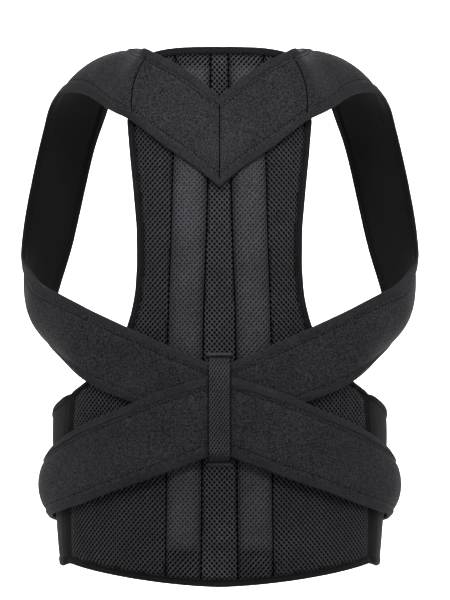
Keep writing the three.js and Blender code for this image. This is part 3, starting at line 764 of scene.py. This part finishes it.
def fold_tape(name, steps, spot, outer, inner, finishes, length):
    """A tape folded over an edge, with a finish for each face. spot gives places by share of the run
    and millimetres inwards."""
    piece, u, v = flat_grid(name, steps, 22)
    turn = np.clip((v - 0.36) / 0.28, 0, 1) * math.pi
    inwards = np.where(v < 0.5, 1 - v / 0.36, (v - 0.64) / 0.36) * BAND_WIDTH
    d = np.maximum(0, inwards)
    p, n = spot(u, d)
    edge = spot(u, 0 * d)[0]
    away = unit(edge - spot(u, 0 * d + 1.0)[0])
    top = outer(u, d) + BAND_THICK / 2 + 0.1
    low = inner(u, d) - BAND_THICK / 2 - 0.1
    pucker = 0.09 * np.sin(2 * math.pi * u * length / STITCH_PITCH) * np.clip(d / 2, 0, 1)
    middle = (top + low) / 2
    lift = middle + (top - low) / 2 * np.cos(turn) + np.where(v < 0.5, pucker, -pucker)
    points = p + n * lift[:, None] + away * (0.95 * np.sin(turn))[:, None]
    move_corners(piece, points * MM)
    centre = edge + n * middle[:, None] - away * 2
    face_outwards(piece, points - centre)
    for finish in finishes:
        piece.data.materials.append(finish)
    for face in piece.data.polygons:
        face.material_index = int(np.mean(v[list(face.vertices)]) > 0.5) * (len(finishes) - 1)
    modify(piece, "SOLIDIFY", thickness=BAND_THICK * MM, offset=0)
    set_map(piece, np.stack([u * length, v * 2.5 * BAND_WIDTH], -1))
    bpy.ops.object.shade_smooth_by_angle(angle=math.radians(50))
    return piece


def join(pieces, name):
    """Makes one piece of several"""
    bpy.ops.object.select_all(action="DESELECT")
    for piece in pieces:
        piece.select_set(True)
    bpy.context.view_layer.objects.active = pieces[0]
    if len(pieces) > 1:
        bpy.ops.object.join()
    bpy.context.object.name = name
    return bpy.context.object


def run_length(points):
    """Length of a run of points"""
    return np.linalg.norm(np.diff(points, axis=0), axis=1).sum()


def sew(name, seams, finish):
    """Rows of stitches. Each seam is its points and the ways outwards there."""
    rows = []
    for points, outwards in seams:
        steps = np.concatenate([[0], np.cumsum(np.linalg.norm(np.diff(points, axis=0), axis=1))])
        count = int(steps[-1] / STITCH_PITCH)
        bpy.ops.object.select_all(action="DESELECT")
        bpy.ops.mesh.primitive_uv_sphere_add(segments=6, ring_count=4, radius=0.5)
        row = bpy.context.object
        size = [side * MM for side in STITCH_SIZE]
        edit(lambda: bpy.ops.transform.rotate(value=math.pi / 2, orient_axis="Y", center_override=(0, 0, 0)),
             lambda: bpy.ops.transform.resize(value=size),
             lambda: bpy.ops.transform.translate(value=(STITCH_PITCH / 2 * MM, 0, 0)))
        modify(row, "ARRAY", count=count, use_relative_offset=False, use_constant_offset=True,
               constant_offset_displace=(STITCH_PITCH * MM, 0, 0))
        flat = corners(row) / MM
        along = flat[:, 0] * steps[-1] / (count * STITCH_PITCH)
        tangents = unit(np.gradient(points, axis=0))
        spread = [np.stack([np.interp(along, steps, a[:, k]) for k in range(3)], -1)
                  for a in (points, tangents, outwards)]
        out = unit(spread[2])
        beside = unit(np.cross(spread[1], out))
        move_corners(row, (spread[0] + beside * flat[:, 1:2] + out * flat[:, 2:3]) * MM)
        rows.append(row)
    piece = join(rows, name)
    piece.data.materials.clear()
    piece.data.materials.append(finish)
    edit(lambda: bpy.ops.mesh.normals_make_consistent(inside=False))
    bpy.ops.object.shade_smooth()
    return piece


# Mesh cloth: one hole is modelled, repeated as a flat net and laid over the panel

def cut_net(name, width, height, hole, lean, pitch=(HOLE_PITCH, ROW_PITCH)):
    """A flat net about the origin in millimetres across x and z, and each corner's own hole. The
    holes are diamonds, drawn longer one way by their lean."""
    across, down = pitch
    bpy.ops.object.select_all(action="DESELECT")
    bpy.ops.mesh.primitive_circle_add(vertices=8, radius=1, fill_type="NOTHING")
    piece = bpy.context.object
    piece.name = name
    bpy.ops.object.mode_set(mode="EDIT")
    bpy.ops.mesh.select_all(action="SELECT")
    bpy.ops.mesh.extrude_region_move(TRANSFORM_OT_translate={"value": (0, 0, -1)})
    bpy.ops.object.mode_set(mode="OBJECT")
    select_where(piece, lambda co: co.z > -0.5)
    bpy.ops.object.mode_set(mode="EDIT")
    bpy.ops.mesh.extrude_region_move(TRANSFORM_OT_translate={"value": (0, 0, 0)})
    bpy.ops.object.mode_set(mode="OBJECT")
    cell = corners(piece)
    angle = np.arctan2(cell[:, 1], cell[:, 0])
    rim = np.array([v.select for v in piece.data.vertices])
    wall = cell[:, 2] < -0.5
    reach = 1 / (np.abs(np.cos(angle)) / (across / 2) + np.abs(np.sin(angle)) / (down / 2))
    diamond = 1 / (np.abs(np.cos(angle)) / hole[0] + np.abs(np.sin(angle)) / hole[1])
    bore = diamond * (0.9 + 0.12 * np.sin(2 * angle) ** 2)
    bore_x = bore * np.cos(angle)
    bore_y = bore * np.sin(angle)
    x = np.where(rim, reach * np.cos(angle), bore_x + lean * bore_y * across / down)
    y = np.where(rim, reach * np.sin(angle), bore_y + lean * bore_x * down / across)
    z = np.where(rim, 0.0, np.where(wall, -0.9, -0.25))
    move_corners(piece, np.stack([x, y, z], -1))
    # Hole walls and bottoms take the second finish: near-black, painted shade down the holes
    for face in piece.data.polygons:
        face.material_index = int(not any(rim[i] for i in face.vertices))
    if piece.data.polygons[-1].normal.z < 0:
        lone(piece)
        edit(bpy.ops.mesh.flip_normals)
    columns = int(width / across)
    rows = int(height / down)
    copies = ((2, (across / 2, down / 2, 0)), (columns, (across, 0, 0)), (rows, (0, down, 0)))
    for count, offset in copies:
        modify(piece, "ARRAY", count=count, use_relative_offset=False, use_constant_offset=True,
               constant_offset_displace=offset)
    flat = corners(piece)
    index = np.arange(len(flat)) // len(cell)
    home = np.stack([(index // 2 % columns) * across + index % 2 * across / 2,
                     (index // (2 * columns)) * down + index % 2 * down / 2], -1)
    home -= [columns * across / 2, rows * down / 2]
    flat[:, 0] -= columns * across / 2
    flat[:, 1] -= rows * down / 2
    return piece, flat, home


def lay_net(piece, flat, home, laid, keep, finishes):
    """Drops the holes outside a region, sews the net's cells together and lays it"""
    move_corners(piece, flat)
    kept = keep(home[:, 0], home[:, 1])
    lone(piece)
    piece.data.vertices.foreach_set("select", ~kept)
    piece.data.edges.foreach_set("select", np.zeros(len(piece.data.edges), bool))
    piece.data.polygons.foreach_set("select", np.zeros(len(piece.data.polygons), bool))
    bpy.ops.object.mode_set(mode="EDIT")
    bpy.ops.mesh.select_mode(type="VERT")
    bpy.ops.mesh.delete(type="VERT")
    bpy.ops.mesh.select_all(action="SELECT")
    bpy.ops.mesh.remove_doubles(threshold=0.02)
    bpy.ops.object.mode_set(mode="OBJECT")
    flat = corners(piece)
    points, outwards = laid(flat[:, 0], flat[:, 1])
    move_corners(piece, (points + outwards * flat[:, 2:3]) * MM)
    face_outwards(piece, outwards)
    for finish in finishes:
        piece.data.materials.append(finish)
    bpy.ops.object.shade_smooth()
    return piece


# Places round a body's side come closer together seen from behind. A net keeps part of that.
SHARES = np.linspace(0, 0.985, 400)
STRETCHED = np.concatenate([[0], np.cumsum(np.diff(SHARES) * (1 - SHARES[1:] ** 2) ** -0.25)])


def drawn_in(flat_x, z):
    """Where a place of the flat net comes to lie across the panel"""
    girth = girth_at(z)
    return np.sign(flat_x) * np.interp(np.abs(flat_x) / girth, STRETCHED, SHARES) * girth


# Pieces

def on_panel(x, z, off):
    """Points a distance off the skin, and the ways outwards there"""
    p, n = panel_spot(x, z)
    return p + n * np.asarray(off)[..., None], n


def panel_place(u, v):
    """Panel's places by share across and down, as x and z"""
    z0 = HALF_LENGTH - v * BACK_LENGTH
    share = np.abs(2 * u - 1)
    near_top = np.clip(1 - (HALF_LENGTH - z0) / 20, 0, 1)
    near_hem = np.clip(1 - (z0 + HALF_LENGTH) / 40, 0, 1)
    z = z0 + (neck_line(share) - HALF_LENGTH) * near_top + (hem_line(share) + HALF_LENGTH) * near_hem
    return (2 * u - 1) * panel_half(z0), z


def build_panel(cloths):
    """Padded body of the back panel, and the nets of its channel and flanks"""
    place = lambda u, v: panel_spot(*panel_place(u, v))

    def backing(u, v):
        x, z = panel_place(u, v)
        pocket = seam_sides(x, z)[1]
        under = (pocket > 0.02) & (pocket < 0.98)
        face = panel_face(x, z)
        sunk = face - NET_SINK * ease_step(to_edge(x, z), 2, 5)
        return np.where(under, np.minimum(sunk, 2.9), sunk)

    def lining(u, v):
        x, z = panel_place(u, v)
        inner = inner_seam(z)
        groove = sum(np.exp(-((np.abs(x) - seam) / 1.8) ** 2) for seam in (inner, inner + POCKET_WIDTH))
        return 0.8 * groove

    # The body's outer face shows through the net's holes; its near-black finish is painted shade down them
    panel = lay_cloth("back_panel_body", 120, 170, place, backing, lining,
                      [cloths["dark"], cloths["inside"]])
    made = [(panel, ["back_panel"], "spacer_mesh")]

    def over(flat_x, z):
        x = drawn_in(flat_x, z)
        return on_panel(x, z, panel_face(x, z))

    def in_channel(flat_x, z):
        x = drawn_in(flat_x, z)
        return (np.abs(x) < inner_seam(z) - SEAM_ROOM) & (to_edge(x, z) > NET_EDGE)

    def in_flank(side):
        def keep(flat_x, z):
            x = drawn_in(flat_x, z)
            outer = inner_seam(z) + POCKET_WIDTH
            return (side * x > outer + SEAM_ROOM - 0.1) & (to_edge(x, z) > NET_EDGE)
        return keep

    nets = (("channel_net", 60, 0, "net", in_channel),
            ("flank_net_left", 420, FLANK_LEAN, "flank_net", in_flank(-1)),
            ("flank_net_right", 420, -FLANK_LEAN, "flank_net", in_flank(1)))
    for name, width, lean, yarn, keep in nets:
        net, flat, home = cut_net(name, width, NET_HEIGHT, HOLE, lean)
        net = lay_net(net, flat, home, over, keep, [cloths[yarn], cloths["dark"]])
        made.append((net, [], "spacer_mesh"))
    return made


def build_pockets(cloths):
    """Each stay pocket's padded body, and its net drawn shut over the stay"""
    made = []
    for name, side in (("left", -1), ("right", 1)):
        body_x = lambda u: 0.96 * (2 * u - 1)
        body_z = lambda v: (0.93 - 1.8 * v) * HALF_LENGTH

        def pocket_x(across, z, s=side):
            return s * (inner_seam(z) + POCKET_WIDTH * (across + 1) / 2)

        body = lay_cloth(f"stay_pocket_{name}_body", 24, 150,
                         lambda u, v: panel_spot(pocket_x(body_x(u), body_z(v)), body_z(v)),
                         lambda u, v: pocket_face(body_x(u), body_z(v)) - 0.55,
                         lambda u, v: 3.15 + 0 * u, [cloths["pocket_core"]])
        made.append((body, [f"stay_pocket_{name}"], "pocket_mesh"))
        net, flat, home = cut_net(f"stay_pocket_{name}_net", 44, NET_HEIGHT, HOLE, POCKET_LEAN * side)
        shut = 0.3 + 0.2 * ease_step(home[:, 1], 40, 130)
        shrink = 1 - shut * stretched(home[:, 0] / POCKET_WIDTH * 2, home[:, 1])
        bore = flat[:, 2] < -0.1
        for k in (0, 1):
            flat[:, k] = np.where(bore, home[:, k] + (flat[:, k] - home[:, k]) * shrink, flat[:, k])
        flat[:, 2] *= np.where(flat[:, 2] < -0.5, 0.4 + 0.3 * shrink, shrink)

        def laid(flat_x, z):
            across = 2 * flat_x / POCKET_WIDTH
            return on_panel(pocket_x(across, z), z, pocket_face(across, z))

        def keep(flat_x, z):
            inside = np.abs(flat_x) < POCKET_WIDTH / 2 - SEAM_ROOM - 0.1
            return inside & (to_edge(0 * flat_x, z) > NET_EDGE)

        net = lay_net(net, flat, home, laid, keep, [cloths["pocket_net"], cloths["pocket_core"]])
        made.append((net, [], "pocket_mesh"))
    return made


def stretched(across, z):
    """How far the stay draws the mesh's holes shut: most in the middle of the pocket"""
    over_stay = ease_step(z, STAY_END, STAY_END + 10) * (1 - ease_step(z, 205, 218))
    return over_stay * (1 - ease_step(np.abs(across), 0.35, 0.95))


STITCH_LINES = (STITCH_INSET / STRAP_WIDTH, 1 - STITCH_INSET / STRAP_WIDTH)


def puff(length, tucked):
    """Half the thickness of a strap: swollen in the middle, drawn in at its stitch lines and at the
    ends that are tucked into a seam"""
    def half(u, v):
        bow = (1 - np.abs(2 * v - 1) ** 4) * SWELL
        lines = sum(np.exp(-((v - line) * STRAP_WIDTH / 1.3) ** 2) for line in STITCH_LINES)
        ends = 1.0
        for end in tucked:
            ends = ends * (1 - 0.6 * np.exp(-np.abs(u - end) * length / 2.2))
        return (STRAP_THICK / 2 + bow - 0.7 * lines) * ends
    return half


def edge_of(place, at_arm):
    """Spots along a strap's edge by share of its run and millimetres inwards"""
    def spot(u, d):
        share = d / STRAP_WIDTH
        return place(u, 1 - share if at_arm else share)
    return spot


def stitch_line(place, face, line):
    """A stitch line along a strap, just off its face"""
    u = np.linspace(0.01, 0.99, 240)
    p, n = place(u, 0 * u + line)
    return p + n * (face(u, 0 * u + line) + 0.12)[:, None], n


def station_run(at):
    """Length of the shoulder strap's run from a station to the next, along its middle"""
    here, there = shoulder_point(1, np.array([at, at + 1.0]), np.array([0.5, 0.5]))
    return np.linalg.norm(there - here)


def strap_places(side):
    """Where the yoke, the shoulder strap and the waist strap of a side run, by share of run and
    width. The yoke's seam bows towards the arm."""
    end = len(SHOULDER["out"]) - 1
    bow = lambda v: SEAM_BOW / station_run(SEAM_STATION) * (1 - (2 * v - 1) ** 2)
    gap = CLEAR / station_run(0)
    start = SEAM_STATION + CLEAR / station_run(SEAM_STATION)
    stop = end - CLEAR / station_run(end - 1)

    def yoke(u, v):
        at = gap + (SEAM_STATION - gap) * u + bow(v) * u ** 3
        return strap_spot(shoulder_point, side, at, v)

    def shoulder_strap(u, v):
        at = start + (stop - start) * u + bow(v) * np.maximum(0, 1 - 6 * u) ** 2
        return strap_spot(shoulder_point, side, at, v)

    def waist_strap(u, v):
        return strap_spot(waist_point, side, gap + (len(WAIST["up"]) - 1 - gap) * u, v)
    return yoke, shoulder_strap, waist_strap


def build_strap(kind, name, place, columns, tucked, edges, cloths):
    """One length of strap with its two tapes and its two rows of stitches"""
    label = f"{kind}_{name}"
    u = np.linspace(0, 1, 200)
    length = run_length(place(u, 0 * u + 0.5)[0])
    half = puff(length, tucked)
    piece = lay_cloth(f"{label}_cloth", columns, 30, place, half, lambda u, v: -half(u, v),
                      [cloths["loop"], cloths["lining"]])
    made = [(piece, [label], "loop_cloth")]
    near = lambda u, d: half(u, d / STRAP_WIDTH)
    far = lambda u, d: -near(u, d)
    tapes = [fold_tape("tape", int(length / 2.2), edge_of(place, at_arm), near, far,
                       [cloths["tape"], cloths["inner_tape"]], length) for at_arm in (False, True)]
    if len(edges) == 1:
        tapes = [join(tapes, "tape")]
    for tape, edge in zip(tapes, edges):
        tape.name = f"{label}{edge}_tape"
        made.append((tape, [f"{label}{edge or '_binding'}"], "tape"))
    seams = [stitch_line(place, half, line) for line in STITCH_LINES]
    made.append((sew(f"{label}_stitches", seams, cloths["thread"]), [], "tape"))
    if kind == "shoulder_strap":
        made.append((close_seam(f"shoulder_seam_{name}", place, half, length, cloths), [], "tape"))
    if label == "yoke_right":
        made.append((close_seam("yoke_centre_seam", place, half, length, cloths), [], "tape"))
    return made


def build_straps(cloths):
    """Both halves of the yoke, and the shoulder and waist straps"""
    made = []
    for name, side in (("left", -1), ("right", 1)):
        yoke, shoulder_strap, waist_strap = strap_places(side)
        made += build_strap("yoke", name, yoke, 40, (0, 1), ("_neck_binding", "_lower_binding"), cloths)
        made += build_strap("shoulder_strap", name, shoulder_strap, 210, (0,),
                            ("_neck_binding", "_arm_binding"), cloths)
        made += build_strap("waist_strap", name, waist_strap, 110, (), ("",), cloths)
    return made


def close_seam(name, place, half, length, cloths):
    """The sunk line where the end of a strap is sewn to the next piece, a near-black strip of painted shade
    in the seam's groove, and its stitches
    """
    low = (BAND_WIDTH + 0.4) / STRAP_WIDTH
    across = lambda v: low + (1 - 2 * low) * v
    spot = lambda u, v: place(SEAM_LINE * (u - 0.5) / length - CLEAR / 2 / length, across(v))
    top = lambda u, v: half(0 * u, across(v)) + 0.28 - 0.3 * (2 * u - 1) ** 2
    line = lay_cloth(name, 8, 90, spot, top, lambda u, v: top(u, v) - 0.5, [cloths["dark_thread"]])
    v = np.linspace(0.02, 0.98, 90)
    p, n = spot(0 * v + 0.5, v)
    stitches = sew("stitches", [(p + n * (half(0 * v, across(v)) + 0.34)[:, None], n)], cloths["thread"])
    return join([line, stitches], name)


def panel_rim(share, d, hem):
    """Places along the panel's edge, d millimetres inwards: up one side, over the neck and down the
    other side, or along the hem"""
    if hem:
        x = (2 * share - 1) * (panel_half(np.array(-HALF_LENGTH + 6.0)) + 0 * share)
        span = np.abs(2 * share - 1)
        return x * (1 - d / 400), hem_line(span) + d
    z_low = -0.3 * HALF_LENGTH
    z_top = HALF_LENGTH - NECK_DIP
    side_run = z_top - z_low
    half_top = panel_half(np.array(z_top))
    total = 2 * side_run + 2 * half_top
    s = share * total
    left = s < side_run
    right = s > total - side_run
    z = np.where(left, z_low + s, np.where(right, z_low + total - s, 0))
    across = s - side_run - half_top
    corner_left = ease_step(s, side_run - NECK_CORNER, side_run + NECK_CORNER)
    corner_right = 1 - ease_step(s, total - side_run - NECK_CORNER, total - side_run + NECK_CORNER)
    neck = np.minimum(corner_left, corner_right)
    side_x = np.where(s < total / 2, -1, 1) * (panel_half(np.where(left | right, z, z_top)) - d)
    side_z = np.where(left | right, z, z_top)
    neck_x = np.clip(across, -half_top, half_top)
    neck_z = neck_line(np.abs(neck_x) / half_top) - d
    neck_x = np.clip(neck_x, -(half_top - d), half_top - d)
    return side_x + (neck_x - side_x) * neck, side_z + (neck_z - side_z) * neck


def build_panel_tapes(cloths):
    """The panel's edge tape and hem tape, and the sunk seams of the pockets with near-black strips of
    painted shade in their grooves
    """
    made = []
    for name, hem in (("panel_edge_binding", False), ("panel_hem_binding", True)):
        place = lambda u, d, h=hem: panel_spot(*panel_rim(u, d, h))

        def face(u, d, h=hem):
            x, z = panel_rim(u, d, h)
            return panel_face(x, z)

        u = np.linspace(0, 1, 400)
        length = run_length(place(u, 0 * u)[0])
        tape = fold_tape(f"{name}_tape", int(length / 2.4), place, face, lambda u, d: 0 * d,
                         [cloths["edge_tape"]], length)
        made.append((tape, [name], "tape"))
        x, z = panel_rim(u, 0 * u + BAND_WIDTH - 1.1, hem)
        seam = on_panel(x, z, panel_face(x, z) + BAND_THICK + 0.2)
        made.append((sew(f"{name}_stitches", [seam], cloths["thread"]), [], "tape"))
    z = np.linspace(HALF_LENGTH - 7, -HALF_LENGTH + 8, 300)
    seams = []
    valleys = []
    for side in (-1, 1):
        for out in (0, POCKET_WIDTH):
            x = side * (inner_seam(z) + out)
            seams.append(on_panel(x, z, panel_face(x, z) + 0.55))

            def valley(u, v, s=side, o=out):
                z = HALF_LENGTH - 3 - (BACK_LENGTH - 6) * v
                z = np.clip(z, panel_ends(30, z)[1] + 3, panel_ends(30, z)[0] - 3)
                return panel_spot(s * (inner_seam(z) + o + (u - 0.5) * 2.6), z)

            def over(u, v, s=side, o=out):
                z = HALF_LENGTH - 3 - (BACK_LENGTH - 6) * v
                x = s * (inner_seam(z) + o)
                return panel_face(x, z) + 0.35 - 0.5 * (2 * u - 1) ** 2 + 0.06 * np.sin(z * 2.03)

            # Near-black strip in each pocket seam's groove: painted shade
            valleys.append(lay_cloth("seam", 6, 220, valley, over, lambda u, v, f=over: f(u, v) - 0.6,
                                     [cloths["dark_thread"]]))
    made.append((join(valleys, "pocket_seam_shade_strips"), [], "tape"))
    made.append((sew("pocket_seam_stitches", seams, cloths["dark_thread"]), [], "tape"))
    return made


def build_wings(cloths):
    """The two belt wings from the panel's sides to the front, with tape on three edges"""
    made = []
    wing_top = WING["top"][0] * HALF_LENGTH
    wing_low = WING["bottom"][0] * HALF_LENGTH
    for name, side in (("left", -1), ("right", 1)):
        def wing_place(along, z_share, s=side):
            top = look(WING, "along", along, "top")
            low = look(WING, "along", along, "bottom")
            z = (top + (low - top) * z_share) * HALF_LENGTH
            start_x = panel_half(z) + SEAM_GAP
            start = np.degrees(np.arcsin(np.clip(start_x / girth_at(z), 0, 0.985)))
            degrees = start + (180 + FRONT_END - start) * along
            off = (CLEAR + TAPE_CLEAR + BAND_THICK) * ease_step(along, 0, 0.02) + wing_lift(s, degrees)
            return round_body(s, degrees, z, off)

        tall = wing_top - wing_low
        face = lambda u, v: WING_THICK * (1 - 0.25 * (2 * v - 1) ** 8) + 0.25 * (1 - (2 * v - 1) ** 2)
        wing = lay_cloth(f"belt_wing_{name}_cloth", 150, 36, wing_place, face, lambda u, v: 0 * u,
                         [cloths["plain"], cloths["lining"]])
        made.append((wing, [f"belt_wing_{name}"], "smooth_cloth"))
        u = np.linspace(0, 1, 200)
        length = run_length(wing_place(u, 0 * u + 0.5)[0])
        tapes = []
        for low_edge in (False, True):
            spot = lambda u, d, e=low_edge: wing_place(u, 1 - d / tall if e else d / tall)
            near = lambda u, d: WING_THICK * (0.75 + 0.25 * np.clip(d / 12, 0, 1)) + 0 * u
            tapes.append(fold_tape(f"belt_wing_{name}_tape_{int(low_edge)}", int(length / 2.6), spot, near,
                                   lambda u, d: 0 * d, [cloths["edge_tape"]], length))
        end = lambda u, d: wing_place(1 - d / length, 0.02 + 0.96 * u)
        near = lambda u, d: WING_THICK + 0 * u
        tapes.append(fold_tape(f"belt_wing_{name}_tape_2", 40, end, near, lambda u, d: 0 * d,
                               [cloths["edge_tape"]], tall))
        made.append((join(tapes, f"belt_wing_{name}_tape"), [f"belt_wing_{name}_binding"], "tape"))
    return made


def build_closure(cloths):
    """The closing patch between the belt ends"""
    def place(u, v):
        across = (2 * u - 1) * CLOSURE_WIDTH / WAIST_WIDTH
        z = -0.68 * HALF_LENGTH + (0.5 - v) * CLOSURE_HEIGHT
        return round_body(-1, 180 + np.degrees(np.arcsin(across)), z, TAPE_CLEAR + BAND_THICK + WING_THICK)
    low = TAPE_CLEAR + BAND_THICK
    patch = lay_cloth("front_closure_patch", 30, 50, place, lambda u, v: low + CLOSURE_THICK + 0 * u,
                      lambda u, v: low + 0 * u, [cloths["plain"]])
    return [(patch, ["front_closure"], "smooth_cloth")]


def keeper_spot(across, z):
    """Points of the keeper: low at its ends, and over the straps between them"""
    along = (z - KEEPER_MIDDLE) / (KEEPER_LENGTH / 2)
    rise = sum(look(KEEPER, "along", along + k * 0.03, "rise") for k in (-1, 0, 1)) / 3
    low = PANEL_TOP + KEEPER_THICK / 2
    off = low + (KEEPER_LAYER - low) * rise
    return worn(across * KEEPER_WIDTH / 2, back_depth(0 * z, z, off), z)


def build_keeper(cloths):
    """The keeper's dark strip, whose edges beside the net are painted shadow, the net on it and the folds at
    its ends
    """
    def place(u, v):
        z = KEEPER_MIDDLE + KEEPER_LENGTH * (0.5 - v)
        step = 0.5
        p = keeper_spot(2 * u - 1, z)
        run = keeper_spot(2 * u - 1, z + step) - keeper_spot(2 * u - 1, z - step)
        n = unit(np.cross(run, np.broadcast_to([1.0, 0, 0], run.shape)))
        return p, np.where(n[..., 1:2] > 0, -n, n)

    # The strip reaches past the net on each side as a near-black line of painted shadow
    def strip_place(u, v):
        return place(0.5 + (u - 0.5) * (1 + 2 * KEEPER_SHADE_LIP / KEEPER_WIDTH), v)
    side_roll = lambda u: (1 - np.abs(2 * u - 1) ** 6) ** 0.6
    strip = lay_cloth("keeper_loop_strip", 20, 70, strip_place, lambda u, v: -0.1 + 0.6 * side_roll(u),
                      lambda u, v: -KEEPER_THICK / 2 * side_roll(u), [cloths["dark"]])
    made = [(strip, ["keeper_loop"], "keeper_mesh")]
    net, flat, home = cut_net("keeper_loop_net", 26, 100, KEEPER_HOLE, KEEPER_LEAN, KEEPER_PITCH)

    def laid(x, z):
        u = np.clip(x / KEEPER_WIDTH + 0.5, 0, 1)
        p, n = place(u, np.clip(0.5 - z / KEEPER_LENGTH, 0, 1))
        return p + n * (0.35 + 0.8 * side_roll(u))[:, None], n

    keep = lambda x, z: (np.abs(x) < KEEPER_WIDTH / 2 + 1) & (np.abs(z) < KEEPER_LENGTH / 2)
    net = lay_net(net, flat, home, laid, keep, [cloths["keeper_net"], cloths["dark"]])
    made.append((net, [], "keeper_mesh"))
    for name, up in (("top", 1), ("bottom", -1)):
        middle = KEEPER_MIDDLE + up * (KEEPER_LENGTH / 2 + CLEAR + FOLD_TALL / 2)

        def fold(u, v, m=middle):
            z = m + (0.5 - v) * FOLD_TALL
            x = (u - 0.5) * FOLD_WIDTH
            n = np.broadcast_to([0.0, -1.0, 0.0], (*np.shape(z), 3))
            return worn(x, back_depth(0 * z, z, PANEL_TOP), z), n

        def roll(u, v):
            round_top = 0.25 + 0.75 * np.sqrt(np.clip(1 - (2 * v - 1) ** 2, 0, 1))
            return FOLD_THICK * round_top * (1 - 0.4 * np.abs(2 * u - 1) ** 8)
        hem = lay_cloth(f"keeper_hem_{name}_fold", 40, 12, fold, roll, lambda u, v: 0 * u,
                        [cloths["keeper_net"]])
        made.append((hem, [f"keeper_hem_{name}"], "keeper_mesh"))
    return made


make_camera()
light_studio()
build_sweep()
HEIGHTS = blow_up_quilt()
fabrics = {
    "net": net_yarn("mesh_yarn", 32, 102),
    # The flanks' yarn is a darker copy of the channel's: painted shade where the body's sides turn from the
    # light
    "flank_net": net_yarn("shaded_flank_yarn", 27, 88),
    "pocket_net": net_yarn("pocket_yarn", 38, 88),
    "keeper_net": net_yarn("keeper_yarn", 38, 84),
    # Near-black core: painted shade on the hole walls and the backing seen through the holes, and painted
    # shadow beside the keeper
    "dark": smooth_cloth("painted_shade_core", 3, 8),
    "pocket_core": smooth_cloth("pocket_core", 24, 38),
    "inside": spacer_back("inner_mesh", 20, 52),
    "loop": loop_cloth("brushed_loops", 4, 68),
    "lining": smooth_cloth("smooth_lining", 18, 28),
    "tape": ribbed_tape("strap_tape", 28, 60),
    "inner_tape": ribbed_tape("strap_tape_inside", 16, 26),
    "edge_tape": ribbed_tape("edge_tape", 18, 33),
    "plain": smooth_cloth("belt_knit", 26, 46),
    "thread": sewing_thread("dull_thread", 10),
    # Dark thread for the pocket stitches, and also the near-black strips of painted shade in the seams
    "dark_thread": sewing_thread("seam_thread_and_shade", 6),
}
for build in (build_panel, build_pockets, build_straps, build_panel_tapes, build_wings, build_closure,
              build_keeper):
    for piece, nodes, slot in build(fabrics):
        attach(piece, "root")
        if nodes:
            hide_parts(*nodes)
